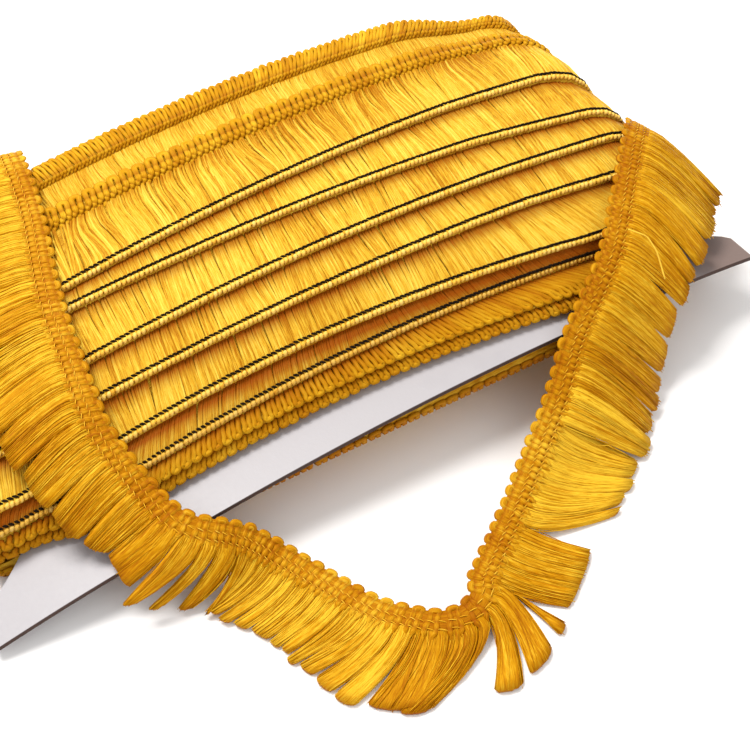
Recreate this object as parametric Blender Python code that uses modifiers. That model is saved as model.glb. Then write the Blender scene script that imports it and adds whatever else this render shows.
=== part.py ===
"""Brush fringe trim wound lengthwise on a notched card, with a loose length in front of it.

Lengths are in metres. X runs along the card, +Y points to the back and +Z points up. The
origin is at the middle of the flat underside of the winding, on the surface it rests on.
"""
import math
import random
from typing import NamedTuple

import bmesh
import bpy
from mathutils import Vector

MM = 0.001

# Card
CARD_HALF_LENGTH = 128 * MM
CARD_HALF_WIDTH = 75 * MM
CARD_THICKNESS = 1.6 * MM
CARD_MIDDLE_HEIGHT = 22 * MM
CARD_RISE = 7 * MM
CARD_BOW = 11 * MM
HORN_INNER_Y = 64 * MM
NOTCH_CURVE = 24 * MM
NOTCH_DEPTH = 24 * MM
NOTCH_HOLLOW = 2 * MM
CARD_STEPS_X = 20
CARD_STEPS_Y = 22

# Winding
SEAT_GAP = 0.3 * MM
WINDING_REACH = 121.3 * MM
WINDING_SKEW = 0.035
WINDING_ROUNDING = 1.2 * MM
ROUNDING_INSET = 7 * MM
LEAST_REACH = 2.0 * MM
SHOULDER_POWER = 3.0
SQUEEZE_START = 0.66
SQUEEZE_END = 0.45
SQUEEZE_FREE_Y = 45 * MM
END_DROP = 5 * MM
END_DROP_START_Y = 18 * MM
END_DROP_RUN = 26 * MM
LEFT_TABLE_X = -100 * MM
RIGHT_TABLE_X = 65 * MM
END_TABLE_X = 100 * MM
TOP_STATIONS = 25
UNDER_STATIONS = 17
END_STATIONS = 6
INNER_POINTS = 9

# Loose length
HEADING_WIDTH = 7.6 * MM
HEADING_THICKNESS = 2.4 * MM
LOOP_PITCH = 4.3 * MM
LOOP_DEPTH = 1.4 * MM
LOCK_ROOT_THICKNESS = 1.8 * MM
LOCK_TIP_THICKNESS = 1.3 * MM
LOCK_SEGMENTS = 3
LOCK_FILL = 0.86
LOCK_GATHER = 0.32
LOCK_LENGTH_SPREAD = 0.9 * MM
LOCK_SEED = 11
LOCK_GROUP_SIZES = (2, 3, 3, 4, 5)
LOCK_BEND = 0.45
LOCK_WAIST = 0.10
LOCK_SPREAD_RATE = 1.15
LYING_FALL = 0.6

# Shares of the heading's width and half thickness
ROOT_RIDGE = 0.76
CHAIN_VALLEY = 0.56
RIM_RIDGE = 0.34
VALLEY_LEVEL = 0.72
RIM_LEVEL = 0.45
HEADING_TILT = 0.35
HEADING_FALL_TILT = 0.3
ROUTE_SAMPLES = 40

YARN_GOLD = (0.82, 0.46, 0.035, 1.0)
YARN_DEEP_GOLD = (0.74, 0.38, 0.025, 1.0)
CARD_WHITE = (0.80, 0.79, 0.82, 1.0)


class ProfileRow(NamedTuple):
    """One point of the winding's cross-section, front to back, in millimetres."""

    name: str
    left_y: float
    middle_y: float
    right_y: float
    end_y: float
    height: float
    proud: float


class RouteStation(NamedTuple):
    """Where the loose length's looped edge and its fringe tips lie, in millimetres."""

    x: float
    y: float
    z: float
    tip_x: float
    tip_y: float
    tip_z: float
    early_fall: float


class Tuft(NamedTuple):
    """Locks between two route places whose tips gather on one line, in millimetres."""

    start: float
    end: float
    from_x: float
    from_y: float
    to_x: float
    to_y: float
    z: float


TOP_PROFILE = (
    ProfileRow("front_foot", -63.0, -61.5, -71.4, -71.5, 0.3, -1.0),
    ProfileRow("lower_heading_edge", -64.4, -62.9, -72.8, -73.0, 1.4, 0.3),
    ProfileRow("lower_heading_top", -63.2, -61.6, -71.3, -71.6, 2.5, 0.2),
    ProfileRow("upper_heading_foot", -61.9, -60.1, -69.0, -69.8, 2.9, -0.4),
    ProfileRow("upper_heading_edge", -62.6, -60.6, -69.4, -70.2, 4.2, 0.6),
    ProfileRow("upper_heading_top", -60.9, -58.6, -66.0, -68.0, 5.2, 0.3),
    ProfileRow("turn_6_foot", -57.7, -54.7, -58.7, -64.4, 6.0, -0.5),
    ProfileRow("turn_6_tip", -57.5, -54.5, -58.5, -64.2, 7.9, 0.9),
    ProfileRow("turn_5_foot", -49.2, -48.2, -55.4, -61.4, 10.4, -0.5),
    ProfileRow("turn_5_tip", -49.0, -48.0, -55.2, -61.2, 12.3, 0.9),
    ProfileRow("turn_4_foot", -34.2, -36.2, -37.7, -40.4, 15.8, -0.5),
    ProfileRow("turn_4_tip", -34.0, -36.0, -37.5, -40.2, 17.7, 0.9),
    ProfileRow("turn_3_foot", -23.2, -23.7, -25.2, -26.7, 19.3, -0.5),
    ProfileRow("turn_3_tip", -23.0, -23.5, -25.0, -26.5, 21.2, 0.9),
    ProfileRow("turn_2_foot", -3.2, -7.7, -11.2, -15.2, 21.8, -0.5),
    ProfileRow("turn_2_tip", -3.0, -7.5, -11.0, -15.0, 23.7, 0.9),
    ProfileRow("turn_1_foot", 0.8, 4.8, 6.3, 5.3, 23.3, -0.5),
    ProfileRow("turn_1_tip", 1.0, 5.0, 6.5, 5.5, 25.2, 0.9),
    ProfileRow("turn_1_fringe", 13.0, 16.0, 17.0, 17.0, 26.2, 0.6),
    ProfileRow("turn_1_root", 24.0, 26.6, 27.6, 27.6, 26.4, 0.4),
    ProfileRow("turn_1_heading", 25.0, 27.6, 28.6, 28.6, 27.5, 1.0),
    ProfileRow("turn_1_loops", 31.8, 34.4, 35.4, 35.4, 27.3, 0.9),
    ProfileRow("turn_0_fringe", 32.2, 34.8, 35.8, 35.8, 25.0, -0.4),
    ProfileRow("turn_0_root", 41.0, 44.8, 44.4, 44.0, 25.8, 0.0),
    ProfileRow("turn_0_heading", 42.0, 45.8, 45.4, 45.0, 27.4, 0.9),
    ProfileRow("turn_0_loops", 49.6, 53.6, 53.2, 52.6, 27.2, 0.8),
    ProfileRow("back_step_1_foot", 50.6, 54.6, 54.2, 53.6, 24.2, -0.4),
    ProfileRow("back_step_1", 55.5, 57.5, 57.0, 56.5, 22.4, 0.6),
    ProfileRow("back_step_2_foot", 56.7, 58.6, 58.0, 57.4, 18.4, -0.4),
    ProfileRow("back_step_2", 60.0, 61.2, 60.5, 60.0, 15.8, 0.6),
    ProfileRow("back_step_3_foot", 60.9, 62.0, 61.3, 60.8, 10.8, -0.4),
    ProfileRow("back_step_3", 63.4, 64.2, 63.5, 63.0, 8.8, 0.6),
    ProfileRow("back_step_4", 64.4, 65.0, 64.4, 64.0, 3.2, 0.3),
    ProfileRow("back_foot", 63.0, 63.5, 63.0, 62.5, 0.3, -1.0),
)

UNDER_PROFILE = (
    ProfileRow("front_foot", -59.0, -72.4, -72.8, -70.0, 0.3, -1.0),
    ProfileRow("first_row_edge", -60.5, -74.0, -74.4, -71.6, 1.9, 0.4),
    ProfileRow("first_row_base", -60.3, -73.8, -74.2, -71.4, 4.3, 0.4),
    ProfileRow("second_row_top", -58.8, -71.0, -71.4, -69.0, 5.4, 0.0),
    ProfileRow("second_row_edge", -58.4, -69.6, -70.0, -68.0, 7.6, 0.4),
    ProfileRow("third_row_top", -57.0, -66.0, -66.4, -65.0, 8.8, 0.0),
    ProfileRow("third_row_edge", -56.4, -64.6, -65.0, -64.0, 11.2, 0.4),
    ProfileRow("fourth_row_edge", -53.6, -58.5, -59.0, -58.5, 15.0, 0.4),
    ProfileRow("floor_front", -49.0, -52.0, -52.0, -52.0, 40.0, 0.0),
    ProfileRow("floor_back", 49.0, 52.0, 52.0, 51.0, 40.0, 0.0),
    ProfileRow("back_row_4_edge", 53.5, 57.5, 57.5, 57.0, 13.0, 0.5),
    ProfileRow("back_row_3_base", 56.0, 60.5, 60.5, 60.0, 9.0, 0.0),
    ProfileRow("back_row_2_edge", 58.5, 63.0, 63.0, 62.5, 5.6, 0.5),
    ProfileRow("back_row_1_edge", 60.5, 64.5, 64.5, 64.0, 2.2, 0.4),
    ProfileRow("back_foot", 59.5, 63.0, 63.0, 62.5, 0.3, -1.0),
)

LOOSE_ROUTE = (
    RouteStation(125.2, -28.0, 3.6, 126.0, -59.0, 3.2, 0.5),
    RouteStation(125.4, -26.0, 14.0, 127.6, -57.5, 12.0, 0.5),
    RouteStation(124.8, -21.5, 26.0, 131.0, -52.0, 18.5, 0.3),
    RouteStation(121.4, -18.0, 36.4, 134.0, -48.0, 23.0, 0.2),
    RouteStation(113.0, -25.5, 43.6, 132.0, -53.0, 24.5, 0.2),
    RouteStation(102.0, -36.0, 44.0, 126.0, -59.0, 24.6, 0.2),
    RouteStation(90.0, -48.0, 41.6, 117.0, -66.0, 24.8, 0.2),
    RouteStation(76.0, -61.5, 38.0, 103.5, -75.0, 24.8, 0.3),
    RouteStation(63.5, -70.0, 32.8, 93.0, -82.5, 20.0, 0.3),
    RouteStation(51.0, -77.5, 27.0, 84.0, -89.0, 9.0, 0.3),
    RouteStation(40.0, -86.0, 18.0, 73.0, -98.5, 2.6, 0.4),
    RouteStation(28.0, -94.0, 11.0, 60.0, -109.5, 0.9, 0.8),
    RouteStation(9.0, -107.5, 6.4, 41.0, -123.0, 0.7, 1.0),
    RouteStation(-6.8, -118.4, 5.0, 20.0, -134.0, 0.7, 1.0),
    RouteStation(-11.6, -121.8, 4.8, 4.0, -146.0, 0.7, 1.0),
    RouteStation(-13.6, -125.4, 4.6, -12.0, -154.0, 0.7, 1.0),
    RouteStation(-17.6, -127.4, 4.6, -24.0, -153.5, 0.7, 1.0),
    RouteStation(-21.6, -127.0, 4.6, -38.0, -149.0, 0.7, 1.0),
    RouteStation(-26.0, -124.4, 4.6, -48.0, -145.8, 0.7, 1.0),
    RouteStation(-34.5, -114.6, 4.4, -59.0, -135.0, 0.7, 1.0),
    RouteStation(-41.0, -101.0, 5.2, -63.0, -119.5, 0.7, 1.0),
    RouteStation(-47.0, -90.5, 8.0, -66.5, -107.5, 0.9, 0.9),
    RouteStation(-54.0, -82.6, 13.5, -73.0, -96.0, 1.4, 0.7),
    RouteStation(-61.0, -78.6, 17.6, -79.6, -88.5, 3.0, 0.5),
    RouteStation(-67.4, -74.6, 19.6, -91.0, -81.8, 7.0, 0.3),
    RouteStation(-70.9, -69.4, 21.4, -92.4, -72.4, 13.8, 0.3),
    RouteStation(-73.0, -62.6, 24.2, -97.0, -66.0, 15.2, 0.3),
    RouteStation(-75.0, -54.4, 28.2, -101.0, -59.0, 19.4, 0.3),
    RouteStation(-76.4, -45.0, 32.4, -104.0, -48.5, 25.8, 0.3),
    RouteStation(-75.4, -34.5, 36.4, -104.0, -36.0, 30.4, 0.3),
    RouteStation(-73.0, -20.0, 39.6, -103.0, -20.0, 33.8, 0.3),
    RouteStation(-70.6, -6.0, 42.0, -100.0, -3.0, 37.2, 0.3),
    RouteStation(-67.0, 8.0, 43.4, -96.0, 14.0, 39.1, 0.3),
    RouteStation(-62.0, 24.0, 45.4, -90.0, 33.0, 40.9, 0.3),
    RouteStation(-58.6, 38.0, 46.8, -86.0, 48.0, 41.8, 0.3),
    RouteStation(-56.0, 52.0, 46.9, -84.0, 62.0, 40.6, 0.3),
    RouteStation(-54.0, 63.0, 43.6, -82.0, 73.0, 35.0, 0.3),
    RouteStation(-52.5, 70.0, 34.0, -80.5, 79.0, 26.0, 0.3),
)

TUFTS = (
    Tuft(12.10, 13.45, 25.0, -130.4, 8.3, -142.6, 0.7),
    Tuft(13.45, 13.95, 4.3, -146.2, 0.3, -148.6, 0.7),
    Tuft(13.95, 14.75, -4.0, -151.6, -13.6, -154.4, 0.7),
    Tuft(14.75, 15.35, -17.2, -156.3, -24.8, -153.4, 0.7),
    Tuft(15.35, 16.10, -35.4, -146.2, -41.4, -149.0, 0.7),
    Tuft(16.10, 17.05, -42.6, -149.0, -49.0, -145.4, 0.7),
    Tuft(22.35, 22.95, -78.4, -89.4, -81.8, -87.4, 1.6),
    Tuft(22.95, 23.50, -85.8, -86.2, -89.4, -84.8, 4.0),
    Tuft(23.50, 24.05, -92.4, -84.6, -95.6, -83.0, 8.2),
)


def clear_scene():
    """Remove every object that the scene starts with."""
    for item in list(bpy.data.objects):
        bpy.data.objects.remove(item, do_unlink=True)


def finish(name, colour, roughness):
    """A plain material with the piece's colour and roughness."""
    material = bpy.data.materials.new(name)
    material.use_nodes = True
    shader = material.node_tree.nodes["Principled BSDF"]
    shader.inputs["Base Color"].default_value = colour
    shader.inputs["Roughness"].default_value = roughness
    shader.inputs["Metallic"].default_value = 0.0
    return material


def card_top(x):
    """Height of the bowed card's upper face."""
    along = x / CARD_HALF_LENGTH
    return CARD_MIDDLE_HEIGHT + CARD_RISE * along - CARD_BOW * along * along


def card_end(y):
    """Half length of the card at a distance y from its long middle line."""
    inward = HORN_INNER_Y - abs(y)
    if inward <= 0.0:
        return CARD_HALF_LENGTH
    if inward < NOTCH_CURVE:
        share = 1.0 - inward / NOTCH_CURVE
        return CARD_HALF_LENGTH - NOTCH_DEPTH * (1.0 - share * share)
    floor_share = abs(y) / (HORN_INNER_Y - NOTCH_CURVE)
    return CARD_HALF_LENGTH - NOTCH_DEPTH - NOTCH_HOLLOW * (1.0 - floor_share * floor_share)


def build_card(collection):
    """The notched card: a grid shaped to its outline, bowed and thickened downward."""
    mesh = bpy.data.meshes.new("winding_card")
    bm = bmesh.new()
    bmesh.ops.create_grid(bm, x_segments=CARD_STEPS_X, y_segments=CARD_STEPS_Y, size=1.0)
    for vert in bm.verts:
        # the rows crowd towards the long edges, where the horns turn in
        y = CARD_HALF_WIDTH * math.sin(vert.co.y * math.pi / 2)
        x = vert.co.x * card_end(y)
        vert.co = Vector((x, y, card_top(x)))
    bm.to_mesh(mesh)
    bm.free()
    card = bpy.data.objects.new("winding_card", mesh)
    collection.objects.link(card)
    solidify = card.modifiers.new("board", "SOLIDIFY")
    solidify.thickness = CARD_THICKNESS
    solidify.offset = -1.0
    card.data.materials.append(finish("white board", CARD_WHITE, 0.75))
    return card


def profile_at(rows, x):
    """The section rows at a place x along the card, as (y, height, proud)."""
    inner = min(x, RIGHT_TABLE_X)
    outer = max(0.0, min(1.0, (x - RIGHT_TABLE_X) / (END_TABLE_X - RIGHT_TABLE_X)))
    points = []
    for row in rows:
        # a parabola through the left, middle and right places, then a ramp to the end place
        left_share = (row.left_y - row.middle_y) / LEFT_TABLE_X
        right_share = (row.right_y - row.middle_y) / RIGHT_TABLE_X
        bend = (right_share - left_share) / (RIGHT_TABLE_X - LEFT_TABLE_X)
        y = row.middle_y + (right_share + bend * (inner - RIGHT_TABLE_X)) * inner
        y += (row.end_y - row.right_y) * outer
        points.append((y * MM, row.height * MM, row.proud * MM))
    return points


def fill_profile(points, count):
    """Halve the longest stretches of a section until it has count points."""
    points = list(points)
    while len(points) < count:
        lengths = [abs(b[0] - a[0]) for a, b in zip(points, points[1:])]
        widest = lengths.index(max(lengths))
        a = points[widest]
        b = points[widest + 1]
        middle = tuple((p + q) / 2 for p, q in zip(a, b))
        points.insert(widest + 1, middle)
    return points


def end_blend(share):
    """How far the section has gone into its end shape, 0 along the middle and 1 at the end."""
    blend = max(0.0, (abs(share) - SQUEEZE_START) / (1.0 - SQUEEZE_START))
    return blend * blend * (3.0 - 2.0 * blend)


def squeeze(y, share):
    """Draw the winding's sides in towards the notch near the card's ends."""
    if abs(y) <= SQUEEZE_FREE_Y:
        return y
    keep = 1.0 + (SQUEEZE_END - 1.0) * end_blend(share)
    return math.copysign(SQUEEZE_FREE_Y + (abs(y) - SQUEEZE_FREE_Y) * keep, y)


def end_drop(y, height, share):
    """Height of the upper rows with the back ones lying lower near the ends."""
    back = max(0.0, min(1.0, (y - END_DROP_START_Y) / END_DROP_RUN))
    return max(min(height, SEAT_GAP), height - END_DROP * back * end_blend(share))


def winding_reach(y):
    """How far the winding stands out past the middle of the card at its ends."""
    share = abs(y) / (HORN_INNER_Y - ROUNDING_INSET)
    return WINDING_REACH + WINDING_SKEW * y - WINDING_ROUNDING * share ** 4


def shoulder(across, over, angle):
    """Radius of the rounded shoulder between a height and a reach."""
    up = abs(math.cos(angle)) / over
    out = abs(math.sin(angle)) / across
    return (up ** SHOULDER_POWER + out ** SHOULDER_POWER) ** (-1.0 / SHOULDER_POWER)


def inner_row(points):
    """Evenly spaced y places from the last section point back to the first."""
    first = points[0][0]
    last = points[-1][0]
    return [last + (first - last) * k / (INNER_POINTS - 1) for k in range(INNER_POINTS)]


def flat_section(rows, share, count, side):
    """One section on the card's upper (side 1) or lower (side -1) face."""
    reach = card_end(0.0)
    points = fill_profile(profile_at(rows, share * reach), count)
    section = []
    squeezed = []
    for y, height, _ in points:
        if side > 0:
            height = end_drop(y, height, share)
        squeezed.append((squeeze(y, share), height))
    for y, height in squeezed:
        x = share * card_end(y)
        seat = face_height(x, side)
        section.append(Vector((x, y, max(0.0, seat + side * height))))
    for y in inner_row(squeezed):
        x = share * card_end(y)
        section.append(Vector((x, y, face_height(x, side))))
    return section


def face_height(x, side):
    """Height of the winding's seat just off the card's upper or lower face."""
    if side > 0:
        return card_top(x) + SEAT_GAP
    return card_top(x) - CARD_THICKNESS - SEAT_GAP


def end_section(end, angle, count):
    """One section around the card's end, angle 0 on top and pi underneath."""
    reach = end * card_end(0.0)
    top = fill_profile(profile_at(TOP_PROFILE, reach), count)
    under = fill_profile(profile_at(UNDER_PROFILE, reach), count)
    turn = angle / math.pi
    half_gap = CARD_THICKNESS / 2 + SEAT_GAP
    section = []
    mixed = []
    for a, b in zip(top, under):
        y = squeeze(a[0] + (b[0] - a[0]) * turn, 1.0)
        proud = a[2] + (b[2] - a[2]) * turn
        mixed.append((y, end_drop(a[0], a[1], 1.0), b[1], proud))
    for y, top_height, under_height, proud in mixed:
        edge = card_end(y)
        middle = card_top(end * edge) - CARD_THICKNESS / 2
        depth = min(under_height, middle - half_gap)
        over = half_gap + (top_height if angle < math.pi / 2 else depth)
        across = max(LEAST_REACH, winding_reach(y) - edge) + proud * math.sin(angle)
        radius = shoulder(across, over, angle)
        x = end * (edge + radius * math.sin(angle))
        section.append(Vector((x, y, max(0.0, middle + radius * math.cos(angle)))))
    for y in inner_row(mixed):
        edge = card_end(y)
        middle = card_top(end * edge) - CARD_THICKNESS / 2
        x = end * (edge + half_gap * math.sin(angle))
        section.append(Vector((x, y, middle + half_gap * math.cos(angle))))
    return section


def winding_sections():
    """All sections in order: over the top, round the left end, underneath, round the right."""
    count = len(TOP_PROFILE)
    sections = []
    for k in range(TOP_STATIONS):
        share = math.sin((1.0 - 2.0 * k / (TOP_STATIONS - 1)) * math.pi / 2)
        sections.append(flat_section(TOP_PROFILE, share, count, 1))
    for k in range(1, END_STATIONS + 1):
        sections.append(end_section(-1, math.pi * k / (END_STATIONS + 1), count))
    for k in range(UNDER_STATIONS):
        share = math.sin((2.0 * k / (UNDER_STATIONS - 1) - 1.0) * math.pi / 2)
        sections.append(flat_section(UNDER_PROFILE, share, count, -1))
    for k in range(END_STATIONS, 0, -1):
        sections.append(end_section(1, math.pi * k / (END_STATIONS + 1), count))
    return sections


def build_winding(collection):
    """The wound turns as one closed band around the card, lofted between its sections."""
    bm = bmesh.new()
    rings = [[bm.verts.new(point) for point in section] for section in winding_sections()]
    size = len(rings[0])
    for k, ring in enumerate(rings):
        following = rings[(k + 1) % len(rings)]
        for j in range(size):
            after = (j + 1) % size
            bm.faces.new((ring[j], ring[after], following[after], following[j]))
    bmesh.ops.recalc_face_normals(bm, faces=bm.faces)
    mesh = bpy.data.meshes.new("wound_trim")
    bm.to_mesh(mesh)
    bm.free()
    winding = bpy.data.objects.new("wound_trim", mesh)
    collection.objects.link(winding)
    winding.data.materials.append(finish("golden yarn, wound", YARN_GOLD, 0.55))
    return winding


def smooth_value(values, position):
    """A value read between table rows on a curve that passes through every row."""
    last = len(values) - 1
    k = min(int(position), last - 1)
    t = position - k
    before = values[max(k - 1, 0)]
    start = values[k]
    end = values[k + 1]
    after = values[min(k + 2, last)]
    return 0.5 * (2 * start + (end - before) * t
                  + (2 * before - 5 * start + 4 * end - after) * t * t
                  + (3 * start - before - 3 * end + after) * t * t * t)


def route_point(position):
    """Looped edge, fringe tip and early fall at a place along the route table."""
    edge = Vector([smooth_value([row[k] for row in LOOSE_ROUTE], position) for k in range(3)])
    tip = Vector([smooth_value([row[k] for row in LOOSE_ROUTE], position) for k in range(3, 6)])
    fall = smooth_value([row.early_fall for row in LOOSE_ROUTE], position)
    return edge * MM, tip * MM, fall


def even_positions():
    """Places along the route table that lie half a loop apart along the looped edge."""
    steps = ROUTE_SAMPLES * (len(LOOSE_ROUTE) - 1)
    places = [k / ROUTE_SAMPLES for k in range(steps + 1)]
    edges = [route_point(place)[0] for place in places]
    travelled = [0.0]
    for a, b in zip(edges, edges[1:]):
        travelled.append(travelled[-1] + (b - a).length)
    count = 2 * round(travelled[-1] / LOOP_PITCH)
    positions = []
    k = 0
    for step in range(count + 1):
        wanted = travelled[-1] * step / count
        while k < len(travelled) - 2 and travelled[k + 1] < wanted:
            k += 1
        share = (wanted - travelled[k]) / (travelled[k + 1] - travelled[k])
        positions.append(places[k] + share * (places[k + 1] - places[k]))
    return positions


class Frame(NamedTuple):
    """The heading's local axes at one station."""

    edge: Vector
    inward: Vector
    normal: Vector
    tip: Vector
    fall: float


def heading_frames(positions):
    """Local axes of the heading at every station."""
    rows = [route_point(place) for place in positions]
    frames = []
    for k, (edge, tip, fall) in enumerate(rows):
        travel = rows[min(k + 1, len(rows) - 1)][0] - rows[max(k - 1, 0)][0]
        travel.normalize()
        reach = tip - edge
        start = Vector((reach.x, reach.y, reach.z * (HEADING_TILT + HEADING_FALL_TILT * fall)))
        normal = travel.cross(start).normalized()
        inward = normal.cross(travel).normalized()
        frames.append(Frame(edge, inward, normal, tip, fall))
    return frames


def heading_section(frame, crest):
    """The heading's closed section: looped edge, two chain ridges and the fringe root."""
    half = HEADING_THICKNESS / 2
    rim = 0.0 if crest else LOOP_DEPTH
    root_half = LOCK_ROOT_THICKNESS / 2
    outline = (
        (HEADING_WIDTH, -root_half),
        (HEADING_WIDTH, root_half),
        (HEADING_WIDTH * ROOT_RIDGE, half),
        (HEADING_WIDTH * CHAIN_VALLEY, half * VALLEY_LEVEL),
        (HEADING_WIDTH * RIM_RIDGE, half),
        (rim, half * RIM_LEVEL),
        (rim, -half * RIM_LEVEL),
        (HEADING_WIDTH * RIM_RIDGE, -half),
    )
    return [frame.edge + frame.inward * across + frame.normal * up for across, up in outline]


def lock_tips(frames, rng):
    """Tip centre and tip half width vector of the lock between each pair of stations."""
    tips = []
    k = 0
    last = len(frames) - 1
    while k < last:
        size = rng.choice(LOCK_GROUP_SIZES)
        group = range(k, min(k + size, last))
        middle = sum(((frames[j].tip + frames[j + 1].tip) / 2 for j in group), Vector()) / len(group)
        stretch = rng.uniform(-1.0, 1.0) * LOCK_LENGTH_SPREAD
        for j in group:
            centre = (frames[j].tip + frames[j + 1].tip) / 2
            span = frames[j + 1].tip - frames[j].tip
            gathered = centre.lerp(middle, LOCK_GATHER)
            away = (centre - frames[j].edge).normalized()
            gathered = gathered + Vector((away.x, away.y, 0.0)) * stretch
            gathered.z = max(centre.z, LOCK_TIP_THICKNESS / 2)
            tips.append((gathered, span * (LOCK_FILL * (1.0 - LOCK_GATHER) / 2)))
        k += size
    return tips


def gather_tufts(tips, positions):
    """Move the tips of the locks that belong to a tuft onto the tuft's tip line."""
    for tuft in TUFTS:
        members = [k for k in range(len(tips)) if tuft.start <= positions[k] < tuft.end]
        first = Vector((tuft.from_x, tuft.from_y, tuft.z)) * MM
        span = Vector((tuft.to_x - tuft.from_x, tuft.to_y - tuft.from_y, 0.0)) * MM / len(members)
        for order, k in enumerate(members):
            tips[k] = (first + span * (order + 0.5), span * (LOCK_FILL / 2))


def lock_sections(root, left, right, tip, half_span):
    """Four-sided sections of one lock, from just off its root to its tip."""
    start = (root[0] + root[1] + root[2] + root[3]) / 4
    root_half = (right.edge - left.edge) / 2
    inward = (left.inward + right.inward).normalized()
    fall = (left.fall + right.fall) / 2
    bend = start + inward * ((tip - start).length * LOCK_BEND)
    if fall > LYING_FALL:
        bend.z = start.z + (tip.z - start.z) * fall
    sections = []
    for k in range(1, LOCK_SEGMENTS + 1):
        t = k / LOCK_SEGMENTS
        centre = start * (1 - t) ** 2 + bend * (2 * t * (1 - t)) + tip * t ** 2
        along = (bend - start) * (1 - t) + (tip - bend) * t
        half_width = root_half.lerp(half_span, min(1.0, t * LOCK_SPREAD_RATE))
        half_width = half_width * (1.0 - LOCK_WAIST * (1 - t))
        thickness = LOCK_ROOT_THICKNESS + (LOCK_TIP_THICKNESS - LOCK_ROOT_THICKNESS) * t
        up = half_width.cross(along).normalized()
        centre.z = max(centre.z, thickness / 2)
        sections.append((centre, half_width, up * (thickness / 2)))
    return sections


def build_loose_length(collection):
    """The loose heading with its scalloped edge, and the locks drawn out of its inner side."""
    rng = random.Random(LOCK_SEED)
    positions = even_positions()
    frames = heading_frames(positions)
    bm = bmesh.new()
    rings = []
    for k, frame in enumerate(frames):
        rings.append([bm.verts.new(point) for point in heading_section(frame, k % 2 == 0)])
    size = len(rings[0])
    roots = []
    for a, b in zip(rings, rings[1:]):
        for j in range(size):
            after = (j + 1) % size
            face = bm.faces.new((a[j], a[after], b[after], b[j]))
            if j == 0:
                roots.append(face)
    bm.faces.new(reversed(rings[0]))
    bm.faces.new(rings[-1])
    tips = lock_tips(frames, rng)
    gather_tufts(tips, positions)
    for k, root in enumerate(roots):
        corners = [vert.co.copy() for vert in root.verts]
        sections = lock_sections(corners, frames[k], frames[k + 1], *tips[k])
        face = root
        for centre, half_width, offset in sections:
            grown = bmesh.ops.extrude_discrete_faces(bm, faces=[face])
            face = grown["faces"][0]
            places = (centre - half_width - offset, centre - half_width + offset,
                      centre + half_width + offset, centre + half_width - offset)
            for vert, place in zip(face.verts, places):
                vert.co = place
    bmesh.ops.recalc_face_normals(bm, faces=bm.faces)
    mesh = bpy.data.meshes.new("loose_length")
    bm.to_mesh(mesh)
    bm.free()
    loose = bpy.data.objects.new("loose_length", mesh)
    collection.objects.link(loose)
    loose.data.materials.append(finish("golden yarn, loose", YARN_DEEP_GOLD, 0.55))
    return loose


def main():
    """Build the card, the winding and the loose length."""
    clear_scene()
    collection = bpy.data.collections.new("fringe_trim_on_card")
    bpy.context.scene.collection.children.link(collection)
    build_card(collection)
    build_winding(collection)
    build_loose_length(collection)


main()
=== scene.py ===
"""Looks of a brush fringe trim wound on a notched card, with a loose length in front of it.

Sizes are in millimetres until a mesh is written, and meshes are in metres. X runs along the
card, +Y points to its back edge and +Z points up.
"""
import logging
import math
import random
from dataclasses import dataclass, field
from enum import Enum
from typing import NamedTuple, Optional, Sequence, Union

import bpy
import numpy as np
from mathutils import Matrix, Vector


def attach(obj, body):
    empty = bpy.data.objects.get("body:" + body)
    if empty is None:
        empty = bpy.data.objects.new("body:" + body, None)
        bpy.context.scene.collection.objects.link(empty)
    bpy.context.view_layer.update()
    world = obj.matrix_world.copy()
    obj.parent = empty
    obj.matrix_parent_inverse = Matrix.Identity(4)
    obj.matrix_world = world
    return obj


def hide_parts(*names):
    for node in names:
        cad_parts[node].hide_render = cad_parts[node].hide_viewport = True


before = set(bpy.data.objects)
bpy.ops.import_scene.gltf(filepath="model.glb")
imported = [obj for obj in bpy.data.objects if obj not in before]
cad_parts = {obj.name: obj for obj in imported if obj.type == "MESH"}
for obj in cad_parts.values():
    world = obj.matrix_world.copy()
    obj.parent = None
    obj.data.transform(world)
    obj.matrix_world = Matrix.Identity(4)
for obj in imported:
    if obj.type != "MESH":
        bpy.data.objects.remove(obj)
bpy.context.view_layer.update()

LOG = logging.getLogger("fringe_trim")
MM = 0.001
BODY = "root"


# Sizes shared with the part's solids


class Row(NamedTuple):
    """One row of the winding's cross-section, front to back."""

    name: str
    left_y: float
    middle_y: float
    right_y: float
    end_y: float
    height: float
    proud: float


class Stop(NamedTuple):
    """Where the loose length's looped edge and its fringe tips lie."""

    x: float
    y: float
    z: float
    tip_x: float
    tip_y: float
    tip_z: float
    fall: float


class Tuft(NamedTuple):
    """Locks between two route places whose tips gather on one line."""

    start: float
    end: float
    from_x: float
    from_y: float
    to_x: float
    to_y: float
    z: float


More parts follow.
